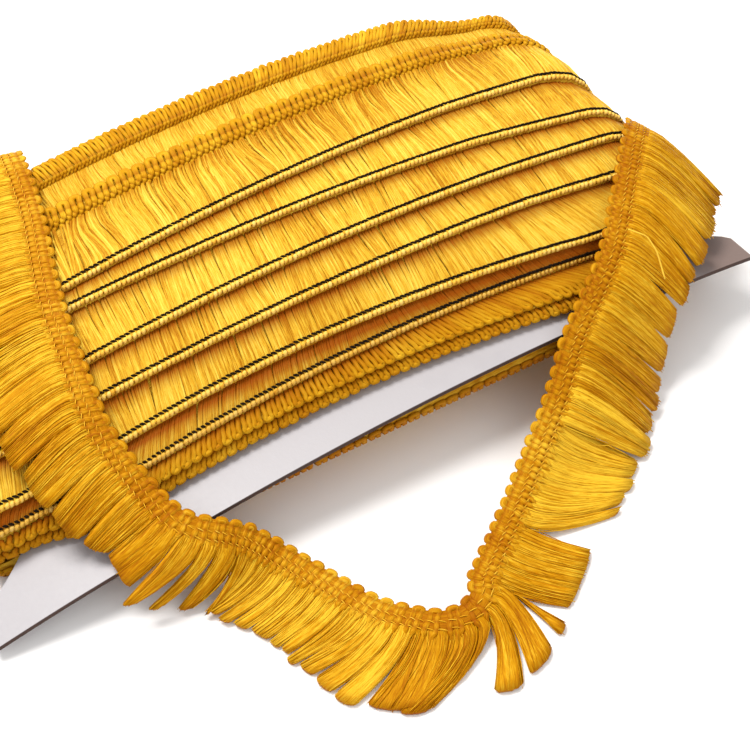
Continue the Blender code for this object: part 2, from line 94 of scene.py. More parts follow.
TOP_ROWS = (
    Row("front_foot", -63.0, -61.5, -71.4, -71.5, 0.3, -1.0),
    Row("lower_heading_edge", -64.4, -62.9, -72.8, -73.0, 1.4, 0.3),
    Row("lower_heading_top", -63.2, -61.6, -71.3, -71.6, 2.5, 0.2),
    Row("upper_heading_foot", -61.9, -60.1, -69.0, -69.8, 2.9, -0.4),
    Row("upper_heading_edge", -62.6, -60.6, -69.4, -70.2, 4.2, 0.6),
    Row("upper_heading_top", -60.9, -58.6, -66.0, -68.0, 5.2, 0.3),
    Row("turn_6_foot", -57.7, -54.7, -58.7, -64.4, 6.0, -0.5),
    Row("turn_6_tip", -57.5, -54.5, -58.5, -64.2, 7.9, 0.9),
    Row("turn_5_foot", -49.2, -48.2, -55.4, -61.4, 10.4, -0.5),
    Row("turn_5_tip", -49.0, -48.0, -55.2, -61.2, 12.3, 0.9),
    Row("turn_4_foot", -34.2, -36.2, -37.7, -40.4, 15.8, -0.5),
    Row("turn_4_tip", -34.0, -36.0, -37.5, -40.2, 17.7, 0.9),
    Row("turn_3_foot", -23.2, -23.7, -25.2, -26.7, 19.3, -0.5),
    Row("turn_3_tip", -23.0, -23.5, -25.0, -26.5, 21.2, 0.9),
    Row("turn_2_foot", -3.2, -7.7, -11.2, -15.2, 21.8, -0.5),
    Row("turn_2_tip", -3.0, -7.5, -11.0, -15.0, 23.7, 0.9),
    Row("turn_1_foot", 0.8, 4.8, 6.3, 5.3, 23.3, -0.5),
    Row("turn_1_tip", 1.0, 5.0, 6.5, 5.5, 25.2, 0.9),
    Row("turn_1_fringe", 13.0, 16.0, 17.0, 17.0, 26.2, 0.6),
    Row("turn_1_root", 24.0, 26.6, 27.6, 27.6, 26.4, 0.4),
    Row("turn_1_heading", 25.0, 27.6, 28.6, 28.6, 27.5, 1.0),
    Row("turn_1_loops", 31.8, 34.4, 35.4, 35.4, 27.3, 0.9),
    Row("turn_0_fringe", 32.2, 34.8, 35.8, 35.8, 25.0, -0.4),
    Row("turn_0_root", 41.0, 44.8, 44.4, 44.0, 25.8, 0.0),
    Row("turn_0_heading", 42.0, 45.8, 45.4, 45.0, 27.4, 0.9),
    Row("turn_0_loops", 49.6, 53.6, 53.2, 52.6, 27.2, 0.8),
    Row("back_step_1_foot", 50.6, 54.6, 54.2, 53.6, 24.2, -0.4),
    Row("back_step_1", 55.5, 57.5, 57.0, 56.5, 22.4, 0.6),
    Row("back_step_2_foot", 56.7, 58.6, 58.0, 57.4, 18.4, -0.4),
    Row("back_step_2", 60.0, 61.2, 60.5, 60.0, 15.8, 0.6),
    Row("back_step_3_foot", 60.9, 62.0, 61.3, 60.8, 10.8, -0.4),
    Row("back_step_3", 63.4, 64.2, 63.5, 63.0, 8.8, 0.6),
    Row("back_step_4", 64.4, 65.0, 64.4, 64.0, 3.2, 0.3),
    Row("back_foot", 63.0, 63.5, 63.0, 62.5, 0.3, -1.0),
)

UNDER_ROWS = (
    Row("front_foot", -59.0, -72.4, -72.8, -70.0, 0.3, -1.0),
    Row("first_row_edge", -60.5, -74.0, -74.4, -71.6, 1.9, 0.4),
    Row("first_row_base", -60.3, -73.8, -74.2, -71.4, 4.3, 0.4),
    Row("second_row_top", -58.8, -71.0, -71.4, -69.0, 5.4, 0.0),
    Row("second_row_edge", -58.4, -69.6, -70.0, -68.0, 7.6, 0.4),
    Row("third_row_top", -57.0, -66.0, -66.4, -65.0, 8.8, 0.0),
    Row("third_row_edge", -56.4, -64.6, -65.0, -64.0, 11.2, 0.4),
    Row("fourth_row_edge", -53.6, -58.5, -59.0, -58.5, 15.0, 0.4),
    Row("floor_front", -49.0, -52.0, -52.0, -52.0, 40.0, 0.0),
    Row("floor_back", 49.0, 52.0, 52.0, 51.0, 40.0, 0.0),
    Row("back_row_4_edge", 53.5, 57.5, 57.5, 57.0, 13.0, 0.5),
    Row("back_row_3_base", 56.0, 60.5, 60.5, 60.0, 9.0, 0.0),
    Row("back_row_2_edge", 58.5, 63.0, 63.0, 62.5, 5.6, 0.5),
    Row("back_row_1_edge", 60.5, 64.5, 64.5, 64.0, 2.2, 0.4),
    Row("back_foot", 59.5, 63.0, 63.0, 62.5, 0.3, -1.0),
)

LOOSE_ROUTE = (
    Stop(125.2, -28.0, 3.6, 126.0, -59.0, 3.2, 0.5),
    Stop(125.4, -26.0, 14.0, 127.6, -57.5, 12.0, 0.5),
    Stop(124.8, -21.5, 26.0, 131.0, -52.0, 18.5, 0.3),
    Stop(121.4, -18.0, 36.4, 134.0, -48.0, 23.0, 0.2),
    Stop(113.0, -25.5, 43.6, 132.0, -53.0, 24.5, 0.2),
    Stop(102.0, -36.0, 44.0, 126.0, -59.0, 24.6, 0.2),
    Stop(90.0, -48.0, 41.6, 117.0, -66.0, 24.8, 0.2),
    Stop(76.0, -61.5, 38.0, 103.5, -75.0, 24.8, 0.3),
    Stop(63.5, -70.0, 32.8, 93.0, -82.5, 20.0, 0.3),
    Stop(51.0, -77.5, 27.0, 84.0, -89.0, 9.0, 0.3),
    Stop(40.0, -86.0, 18.0, 73.0, -98.5, 2.6, 0.4),
    Stop(28.0, -94.0, 11.0, 60.0, -109.5, 0.9, 0.8),
    Stop(9.0, -107.5, 6.4, 41.0, -123.0, 0.7, 1.0),
    Stop(-6.8, -118.4, 5.0, 20.0, -134.0, 0.7, 1.0),
    Stop(-11.6, -121.8, 4.8, 4.0, -146.0, 0.7, 1.0),
    Stop(-13.6, -125.4, 4.6, -12.0, -154.0, 0.7, 1.0),
    Stop(-17.6, -127.4, 4.6, -24.0, -153.5, 0.7, 1.0),
    Stop(-21.6, -127.0, 4.6, -38.0, -149.0, 0.7, 1.0),
    Stop(-26.0, -124.4, 4.6, -48.0, -145.8, 0.7, 1.0),
    Stop(-34.5, -114.6, 4.4, -59.0, -135.0, 0.7, 1.0),
    Stop(-41.0, -101.0, 5.2, -63.0, -119.5, 0.7, 1.0),
    Stop(-47.0, -90.5, 8.0, -66.5, -107.5, 0.9, 0.9),
    Stop(-54.0, -82.6, 13.5, -73.0, -96.0, 1.4, 0.7),
    Stop(-61.0, -78.6, 17.6, -79.6, -88.5, 3.0, 0.5),
    Stop(-67.4, -74.6, 19.6, -91.0, -81.8, 7.0, 0.3),
    Stop(-70.9, -69.4, 21.4, -92.4, -72.4, 13.8, 0.3),
    Stop(-73.0, -62.6, 24.2, -97.0, -66.0, 15.2, 0.3),
    Stop(-75.0, -54.4, 28.2, -101.0, -59.0, 19.4, 0.3),
    Stop(-76.4, -45.0, 32.4, -104.0, -48.5, 25.8, 0.3),
    Stop(-75.4, -34.5, 36.4, -104.0, -36.0, 30.4, 0.3),
    Stop(-73.0, -20.0, 39.6, -103.0, -20.0, 33.8, 0.3),
    Stop(-70.6, -6.0, 42.0, -100.0, -3.0, 37.2, 0.3),
    Stop(-67.0, 8.0, 43.4, -96.0, 14.0, 39.1, 0.3),
    Stop(-62.0, 24.0, 45.4, -90.0, 33.0, 40.9, 0.3),
    Stop(-58.6, 38.0, 46.8, -86.0, 48.0, 41.8, 0.3),
    Stop(-56.0, 52.0, 46.9, -84.0, 62.0, 40.6, 0.3),
    Stop(-54.0, 63.0, 43.6, -82.0, 73.0, 35.0, 0.3),
    Stop(-52.5, 70.0, 34.0, -80.5, 79.0, 26.0, 0.3),
)

TUFTS = (
    Tuft(12.10, 13.45, 25.0, -130.4, 8.3, -142.6, 0.7),
    Tuft(13.45, 13.95, 4.3, -146.2, 0.3, -148.6, 0.7),
    Tuft(13.95, 14.75, -4.0, -151.6, -13.6, -154.4, 0.7),
    Tuft(14.75, 15.35, -17.2, -156.3, -24.8, -153.4, 0.7),
    Tuft(15.35, 16.10, -35.4, -146.2, -41.4, -149.0, 0.7),
    Tuft(16.10, 17.05, -42.6, -149.0, -49.0, -145.4, 0.7),
    Tuft(22.35, 22.95, -78.4, -89.4, -81.8, -87.4, 1.6),
    Tuft(22.95, 23.50, -85.8, -86.2, -89.4, -84.8, 4.0),
    Tuft(23.50, 24.05, -92.4, -84.6, -95.6, -83.0, 8.2),
)


class Link:
    """A shader socket that adds Math nodes when it is used in an expression."""

    def __init__(self, sheet: "NodeSheet", socket: bpy.types.NodeSocket) -> None:
        """Wrap one output socket."""
        self.sheet = sheet
        self.socket = socket

    def _maths(self, operation: str, first: "Value", second: "Value") -> "Link":
        """Add one Math node.

        Args:
            operation: the Math node's operation.
            first: the first value.
            second: the second value.

        Returns:
            The node's output.
        """
        return self.sheet.node("ShaderNodeMath", {"operation": operation}, {0: first, 1: second})

    def __add__(self, other: "Value") -> "Link":
        """The sum."""
        return self._maths("ADD", self, other)

    def __radd__(self, other: "Value") -> "Link":
        """The sum, reflected."""
        return self._maths("ADD", other, self)

    def __sub__(self, other: "Value") -> "Link":
        """The difference."""
        return self._maths("SUBTRACT", self, other)

    def __mul__(self, other: "Value") -> "Link":
        """The product."""
        return self._maths("MULTIPLY", self, other)

    def clamped(self) -> "Link":
        """The value held between 0 and 1."""
        return self.sheet.node(
            "ShaderNodeMath", {"operation": "ADD", "use_clamp": True}, {0: self, 1: 0.0}
        )


Value = Union[Link, float, Sequence[float]]


class NodeSheet:
    """The node tree of one material."""

    def __init__(self, name: str) -> None:
        """Start a material with a Principled shader.

        Args:
            name: the material's name.
        """
        self.material = bpy.data.materials.new(name)
        self.material.use_nodes = True
        self.tree = self.material.node_tree
        self.shader = self.tree.nodes["Principled BSDF"]

    def node(
        self,
        kind: str,
        settings: Optional[dict] = None,
        inputs: Optional[dict] = None,
        output: Union[int, str] = 0,
    ) -> Link:
        """Add any node.

        Args:
            kind: the node's type.
            settings: the node's own settings.
            inputs: values or links by socket name or number.
            output: the output socket wanted.

        Returns:
            The output, ready for expressions.
        """
        made = self.tree.nodes.new(kind)
        for key, value in (settings or {}).items():
            setattr(made, key, value)
        for key, value in (inputs or {}).items():
            self.feed(made.inputs[key], value)
        return Link(self, made.outputs[output])

    def feed(self, socket: bpy.types.NodeSocket, value: Value) -> None:
        """Link a socket or set its value.

        Args:
            socket: the input socket.
            value: a link or a plain value.
        """
        if isinstance(value, Link):
            self.tree.links.new(value.socket, socket)
        else:
            socket.default_value = value

    def mix(self, factor: Value, first: Value, second: Value) -> Link:
        """Mix two colours.

        Args:
            factor: 0 gives the first colour and 1 the second.
            first: the first colour.
            second: the second colour.

        Returns:
            The mixed colour.
        """
        return self.node(
            "ShaderNodeMix",
            {"data_type": "RGBA"},
            {"Factor": factor, 6: first, 7: second},
            2,
        )

    def attribute(self, name: str) -> Link:
        """A number stored on the mesh."""
        return self.node("ShaderNodeAttribute", {"attribute_name": name}, None, "Fac")

    def noise(self, scale: float, detail: float = 2.0, roughness: float = 0.5) -> Link:
        """Noise over the object's own coordinates."""
        place = self.node("ShaderNodeTexCoord", None, None, "Object")
        return self.node(
            "ShaderNodeTexNoise",
            None,
            {"Vector": place, "Scale": scale, "Detail": detail, "Roughness": roughness},
        )

    def streaks(self, across: float, along: float, detail: float = 3.0) -> Link:
        """Noise drawn out along the strands.

        Args:
            across: changes in a millimetre across the strands.
            along: changes in a millimetre along them.
            detail: octaves of the noise.

        Returns:
            The noise, about 0.5 on average.
        """
        lane = self.attribute("lane") * across
        reach = self.attribute("reach") * along
        place = self.node("ShaderNodeCombineXYZ", None, {"X": lane, "Y": reach})
        return self.node(
            "ShaderNodeTexNoise", None, {"Vector": place, "Scale": 1.0, "Detail": detail}
        )

    def bump(self, height: Value, strength: float, distance: float) -> None:
        """Feed the shader's normal with a bump."""
        made = self.node(
            "ShaderNodeBump", None, {"Height": height, "Strength": strength, "Distance": distance}
        )
        self.feed(self.shader.inputs["Normal"], made)

    def constant(self, **values: Value) -> None:
        """Set the shader's own sockets, an underscore standing for a space."""
        for key, value in values.items():
            self.shader.inputs[key.replace("_", " ")].default_value = value


Colour = tuple[float, float, float, float]


@dataclass(frozen=True)
class YarnFinish:
    """Soft silky yarn with fine fibres along it, which differs a little between strands, and a
    painted shade colour that the mesh's shade layer mixes in.
    """

    name: str
    bright: Colour = (0.84, 0.59, 0.075, 1.0)
    middle: Colour = (0.70, 0.395, 0.024, 1.0)
    deep: Colour = (0.42, 0.155, 0.003, 1.0)
    # Colour of the painted shade: shadows under cords and headings, and faces turned away from the
    # lamps.
    painted_shade: Colour = (0.25, 0.045, 0.001, 1.0)
    roughness: float = 0.50
    roughness_spread: float = 0.2
    shine: float = 0.10
    shine_tint: Colour = (1.0, 0.78, 0.32, 1.0)
    patches_per_metre: float = 55.0
    fibres_per_mm: float = 4.5
    fibre_changes_per_mm: float = 0.28
    locks_per_fibre: float = 0.22
    lock_changes_per_mm: float = 0.035
    fibre_swing: float = 1.7
    lock_swing: float = 1.2
    patch_swing: float = 0.8
    lock_relief: float = 0.8
    relief: float = 0.75
    fibre_depth: float = 0.00022
    liveliness: float = 1.0

    def material(self) -> bpy.types.Material:
        """Write the yarn's shader.

        Returns:
            The finish as a material.
        """
        sheet = NodeSheet(self.name)
        tone = sheet.attribute("tone")
        shade = sheet.attribute("shade")
        patch = sheet.noise(self.patches_per_metre)
        fibre = sheet.streaks(self.fibres_per_mm, self.fibre_changes_per_mm)
        locks_per_mm = self.fibres_per_mm * self.locks_per_fibre
        lock = sheet.streaks(locks_per_mm, self.lock_changes_per_mm, 1.0)
        swing = (fibre - 0.5) * self.fibre_swing + (lock - 0.5) * self.lock_swing
        swing = swing + (patch - 0.5) * self.patch_swing
        lively = (tone + swing * self.liveliness).clamped()
        base = sheet.mix((lively * 2.0).clamped(), self.deep, self.middle)
        lit = sheet.mix((lively * 2.0 - 1.0).clamped(), base, self.bright)
        # Painted shade: the shade layer mixes the yarn's colour towards the painted shade colour.
        sheet.feed(sheet.shader.inputs["Base Color"], sheet.mix(shade, lit, self.painted_shade))
        least = self.roughness - self.roughness_spread / 2
        sheet.feed(sheet.shader.inputs["Roughness"], fibre * self.roughness_spread + least)
        sheet.bump(fibre + lock * self.lock_relief, self.relief, self.fibre_depth)
        sheet.constant(Specular_IOR_Level=self.shine, Specular_Tint=self.shine_tint)
        return sheet.material


@dataclass(frozen=True)
class BoardFinish:
    """White coated board with faint creases, darker towards its left end, a painted shadow on its
    right end and a brown cut edge.
    """

    name: str = "coated board"
    face: Colour = (0.405, 0.385, 0.398, 1.0)
    darker_face: Colour = (0.30, 0.28, 0.30, 1.0)
    cut: Colour = (0.020, 0.007, 0.005, 1.0)
    cut_fibre: Colour = (0.075, 0.034, 0.022, 1.0)
    # Colour of the painted shadow on the card's right end, warm from light thrown off the yarn.
    right_end_painted_shadow: Colour = (0.150, 0.088, 0.064, 1.0)
    painted_shadow_from: float = 0.104
    painted_shadow_depth: float = 0.85
    left_end_from: float = 0.108
    clouds_per_metre: float = 26.0
    grains_per_metre: float = 900.0
    roughness: float = 0.42
    grain_roughness: float = 0.16
    edge_roughness: float = 0.3
    relief: float = 0.35
    grain_depth: float = 0.00012

    def material(self) -> bpy.types.Material:
        """Write the board's shader.

        Returns:
            The finish as a material.
        """
        sheet = NodeSheet(self.name)
        # The shade layer is 1 on the brown cut edge and mixes a little cut colour into the lower
        # face as painted shade.
        edge = sheet.attribute("shade")
        cloud = sheet.noise(self.clouds_per_metre, 4.0, 0.55)
        grain = sheet.noise(self.grains_per_metre, 3.0, 0.6)
        ridge = ((cloud - 0.56) * 5.0).clamped()
        place = sheet.node("ShaderNodeTexCoord", None, None, "Object")
        far_end = sheet.node("ShaderNodeSeparateXYZ", None, {"Vector": place}, "X")
        # Painted shadow over the right end of the card.
        right_end_shadow = ((far_end - self.painted_shadow_from + cloud * 0.012) * 60.0).clamped() * self.painted_shadow_depth
        # Darker towards the left end of the card, with crease lines there; ridge adds darker
        # mottled patches over the face.
        left_end = ((cloud * 0.03 - far_end - self.left_end_from) * 50.0).clamped()
        line = ((cloud - 0.46) * 60.0).clamped() - ((cloud - 0.48) * 60.0).clamped()
        darkening = (ridge * 0.5 + left_end * (line * 0.8 + 0.3)).clamped()
        face = sheet.mix(right_end_shadow, sheet.mix(darkening, self.face, self.darker_face), self.right_end_painted_shadow)
        cut = sheet.mix(grain, self.cut, self.cut_fibre)
        sheet.feed(sheet.shader.inputs["Base Color"], sheet.mix(edge, face, cut))
        rough = self.roughness + grain * self.grain_roughness + edge * self.edge_roughness
        sheet.feed(sheet.shader.inputs["Roughness"], rough)
        sheet.bump(grain + cloud * 6.0, self.relief, self.grain_depth)
        return sheet.material


@dataclass(frozen=True)
class FloorFinish:
    """Plain pale studio floor."""

    name: str = "studio floor"
    tint: Colour = (0.93, 0.92, 0.915, 1.0)
    pale: Colour = (0.96, 0.955, 0.95, 1.0)
    clouds_per_metre: float = 40.0
    cloud_depth: float = 0.2
    roughness: float = 0.9
    shine: float = 0.1

    def material(self) -> bpy.types.Material:
        """Write the floor's shader.

        Returns:
            The finish as a material.
        """
        sheet = NodeSheet(self.name)
        cloud = sheet.noise(self.clouds_per_metre) * self.cloud_depth
        sheet.feed(sheet.shader.inputs["Base Color"], sheet.mix(cloud, self.tint, self.pale))
        sheet.constant(Roughness=self.roughness, Specular_IOR_Level=self.shine)
        return sheet.material


FRINGE_YARN = YarnFinish("golden fringe yarn")
HEADING_YARN = YarnFinish(
    "golden heading yarn",
    bright=(0.74, 0.445, 0.022, 1.0),
    middle=(0.57, 0.270, 0.005, 1.0),
    liveliness=0.7,
)
LOOSE_YARN = YarnFinish(
    "golden loose yarn",
    bright=(0.81, 0.495, 0.030, 1.0),
    middle=(0.58, 0.258, 0.003, 1.0),
    deep=(0.38, 0.122, 0.001, 1.0),
)
TIP_CORD = YarnFinish(
    "pale tip yarn",
    bright=(0.95, 0.66, 0.17, 1.0),
    middle=(0.90, 0.53, 0.070, 1.0),
    deep=(0.64, 0.27, 0.012, 1.0),
    liveliness=0.6,
)
STITCH_THREAD = YarnFinish(
    "pale stitching thread",
    bright=(0.93, 0.58, 0.06, 1.0),
    middle=(0.84, 0.45, 0.020, 1.0),
    deep=(0.66, 0.28, 0.008, 1.0),
    liveliness=0.5,
)
CHAIN_THREAD = YarnFinish(
    "dark chain thread",
    bright=(0.020, 0.010, 0.007, 1.0),
    middle=(0.010, 0.005, 0.004, 1.0),
    deep=(0.004, 0.002, 0.002, 1.0),
    painted_shade=(0.003, 0.001, 0.001, 1.0),
    roughness=0.7,
)


def unit(vectors: np.ndarray) -> np.ndarray:
    """Vectors of length one."""
    return vectors / np.maximum(np.linalg.norm(vectors, axis=-1, keepdims=True), 1e-9)


def facing(found: np.ndarray, rough: np.ndarray) -> np.ndarray:
    """Directions turned to the side that rough directions point to."""
    sign = np.sign(np.sum(found * rough, axis=-1, keepdims=True))
    return found * np.where(sign == 0, 1.0, sign)


def travelled(points: np.ndarray, axis: int = 0) -> np.ndarray:
    """Distances along one axis of a grid of points.

    Args:
        points: positions, with x, y and z on the last axis.
        axis: the axis that is followed.

    Returns:
        The distance from the first point to each point.
    """
    steps = np.linalg.norm(np.diff(points, axis=axis), axis=-1)
    start = np.zeros_like(np.take(steps, [0], axis=axis))
    return np.concatenate([start, np.cumsum(steps, axis=axis)], axis=axis)


def read(places: np.ndarray, knots: Sequence[float], values: np.ndarray) -> np.ndarray:
    """Points read between the rows of a table.

    Args:
        places: where the table is read.
        knots: the place of each row.
        values: the table, with x, y and z in its columns.

    Returns:
        A point for each place.
    """
    return np.stack([np.interp(places, knots, values[:, k]) for k in range(3)], axis=-1)


Finish = Union[YarnFinish, BoardFinish]
LANE_STEP = 3.7
LANE_WRAP = 997.0


class Strands:
    """Points and four-sided faces of one piece, with a tone and a shade at each point."""

    def __init__(self, name: str) -> None:
        """Start an empty piece."""
        self.name = name
        self.points: list[np.ndarray] = []
        self.faces: list[np.ndarray] = []
        self.layers: dict[str, list[np.ndarray]] = {
            "tone": [], "shade": [], "lane": [], "reach": []
        }
        self.count = 0
        self.surfaces = 0

    def grid(
        self,
        points: np.ndarray,
        tone: Union[float, np.ndarray],
        shade: Union[float, np.ndarray],
        closed: bool = False,
        capped: bool = False,
    ) -> None:
        """Add many surfaces of the same make.

        Args:
            points: positions as (surface, ring, point, 3), in millimetres.
            tone: lightness, one number or one that spreads over (surface, ring, point).
            shade: depth of painted shade, as tone; on the board it mixes in the brown cut colour.
            closed: whether each ring closes on itself.
            capped: whether rings of four points are closed by end faces.
        """
        many, rings, size, _ = points.shape
        index = self.count + np.arange(many * rings * size).reshape(many, rings, size)
        here = index if closed else index[:, :, :-1]
        after = np.roll(index, -1, axis=2) if closed else index[:, :, 1:]
        quads = np.stack([here[:, :-1], after[:, :-1], after[:, 1:], here[:, 1:]], axis=-1)
        self.faces.append(quads.reshape(-1, 4))
        if capped:
            self.faces.append(index[:, 0, ::-1].reshape(-1, 4))
            self.faces.append(index[:, -1].reshape(-1, 4))
        self.points.append(points.reshape(-1, 3))
        own = LANE_STEP * (self.surfaces + np.arange(many))[:, None, None] % LANE_WRAP
        values = (tone, shade, travelled(points, 2) + own, travelled(points, 1))
        for layer, value in zip(self.layers.values(), values):
            layer.append(np.broadcast_to(value, (many, rings, size)).reshape(-1))
        self.surfaces += many
        self.count += many * rings * size

    def build(self, finish: Finish, slot: str, replaces: Sequence[str] = ()) -> bpy.types.Object:
        """Write the mesh and dress it.

        Args:
            finish: the finish with a material() method.
            slot: not used.
            replaces: solids that this piece stands for.

        Returns:
            The new piece.
        """
        points = np.concatenate(self.points) * MM
        points[:, 2] = np.maximum(points[:, 2], 0.0)
        faces = np.concatenate(self.faces)
        mesh = bpy.data.meshes.new(self.name)
        mesh.vertices.add(len(points))
        mesh.vertices.foreach_set("co", points.astype(np.float32).ravel())
        mesh.loops.add(faces.size)
        mesh.loops.foreach_set("vertex_index", faces.astype(np.int32).ravel())
        mesh.polygons.add(len(faces))
        mesh.polygons.foreach_set("loop_start", np.arange(0, faces.size, 4, dtype=np.int32))
        mesh.update(calc_edges=True)
        for name, values in self.layers.items():
            layer = mesh.attributes.new(name, "FLOAT", "POINT")
            layer.data.foreach_set("value", np.concatenate(values).astype(np.float32))
        mesh.shade_smooth()
        mesh.materials.append(finish.material())
        piece = bpy.data.objects.new(self.name, mesh)
        bpy.context.scene.collection.objects.link(piece)
        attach(piece, BODY)
        if replaces:
            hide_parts(*replaces)
        LOG.info("%s: %d faces", self.name, len(faces))
        return piece


def rings_along(
    path: np.ndarray,
    up: np.ndarray,
    wide: Union[float, np.ndarray],
    tall: Union[float, np.ndarray],
    angles: np.ndarray,
) -> np.ndarray:
    """Rings of points round many paths.

    Args:
        path: centre lines as (strand, step, 3).
        up: rough upward directions, of the same shape.
        wide: half width, one number or (strand, step).
        tall: half height, as wide.
        angles: where the ring's points stand, 0 at the side and a quarter turn at the top.

    Returns:
        Positions as (strand, step, point, 3).
    """
    travel = unit(np.gradient(path, axis=1))
    side = unit(np.cross(travel, up))
    top = np.cross(side, travel)
    shape = path.shape[:2]
    wide = np.broadcast_to(wide, shape)[:, :, None, None]
    tall = np.broadcast_to(tall, shape)[:, :, None, None]
    across = np.cos(angles)[None, None, :, None] * side[:, :, None, :] * wide
    height = np.sin(angles)[None, None, :, None] * top[:, :, None, :] * tall
    return path[:, :, None, :] + across + height


def drift(along: np.ndarray, step: float, rng: np.random.Generator) -> np.ndarray:
    """Smooth random values, about -1 to 1, along a line.

    Args:
        along: places on the line, in millimetres.
        step: how far apart the changes are.
        rng: the source of the values.

    Returns:
        A value for each place.
    """
    knots = np.arange(-2.0, float(np.max(along)) / step + 3.0)
    values = rng.normal(0.0, 0.6, len(knots))
    place = along / step
    low = np.floor(place)
    part = place - low
    part = part * part * (3.0 - 2.0 * part)
    before = np.interp(low, knots, values)
    after = np.interp(low + 1.0, knots, values)
    return before * (1.0 - part) + after * part


ARCH = np.radians([200.0, 125.0, 55.0, -20.0])
SQUARE = np.radians([45.0, 135.0, 225.0, 315.0])
HEXAGON = np.radians([0.0, 60.0, 120.0, 180.0, 240.0, 300.0])


# The card


@dataclass
class WindingCard:
    """The notched board that the trim is wound on, bowed along its length."""

    half_length: float = 128.0
    half_width: float = 75.0
    thickness: float = 1.6
    middle_height: float = 22.0
    rise: float = 7.0
    bow: float = 11.0
    horn_inner_y: float = 64.0
    notch_curve: float = 24.0
    notch_depth: float = 24.0
    notch_hollow: float = 2.0
    wave: float = 0.10
    edge_bulge: float = 0.15
    edge_round: float = 0.25
    under_shade: float = 0.15
    edge_shades: tuple[float, ...] = (0.7, 1.0, 1.0, 1.0)
    steps_x: int = 96
    steps_y: int = 61

    def top(self, x: np.ndarray) -> np.ndarray:
        """Height of the upper face."""
        along = np.asarray(x) / self.half_length
        return self.middle_height + self.rise * along - self.bow * along * along

    def end(self, y: np.ndarray) -> np.ndarray:
        """Half length of the card, shorter in its notches.

        Args:
            y: distances from the card's long middle line.

        Returns:
            The half length at each distance.
        """
        inward = self.horn_inner_y - np.abs(y)
        share = 1.0 - inward / self.notch_curve
        curve = self.half_length - self.notch_depth * (1.0 - share * share)
        floor = np.abs(y) / (self.horn_inner_y - self.notch_curve)
        hollow = self.half_length - self.notch_depth - self.notch_hollow * (1.0 - floor * floor)
        inner = np.where(inward < self.notch_curve, curve, hollow)
        return np.where(inward <= 0.0, self.half_length, inner)

    def build(self) -> bpy.types.Object:
        """Write the board as two faces and a softly rounded cut edge.

        Returns:
            The board.
        """
        across = np.sin(np.linspace(-0.5, 0.5, self.steps_y) * math.pi) * self.half_width
        along = np.linspace(-1.0, 1.0, self.steps_x)
        y = np.repeat(across[:, None], self.steps_x, axis=1)
        x = along[None, :] * self.end(across)[:, None]
        outer = np.clip(np.abs(x) / self.half_length, 0, 1)
        wave = self.wave * np.sin(x * 0.11 + y * 0.07) * outer
        face = np.stack([x, y, self.top(x) + wave], axis=-1)
        ring = np.concatenate([face[0, :], face[1:, -1], face[-1, -2::-1], face[-2:0:-1, 0]])
        bulge = unit(ring * np.array([1.0, 1.0, 0.0])) * self.edge_bulge
        up = np.array([0.0, 0.0, 1.0])
        board = Strands("winding_card_board")
        board.grid(face[None, :, ::-1], 0.5, 0.0)
        # Painted shade: the lower face takes a little of the brown cut colour.
        board.grid((face - up * self.thickness)[None], 0.5, self.under_shade)
        layers = np.stack(
            [
                ring,
                ring + bulge - up * self.edge_round,
                ring + bulge - up * (self.thickness - self.edge_round),
                ring - up * self.thickness,
            ]
        )
        shades = np.array(self.edge_shades)[None, :, None]
        board.grid(layers[None], 0.5, shades, closed=True)
        return board.build(BoardFinish(), "white_board", ["winding_card"])


# The winding


class Stretch(Enum):
    """The two stretches of the winding that trim is laid along."""

    OVER = "over the top and round both ends"
    UNDER = "under the card"


ROWS = {Stretch.OVER: TOP_ROWS, Stretch.UNDER: UNDER_ROWS}


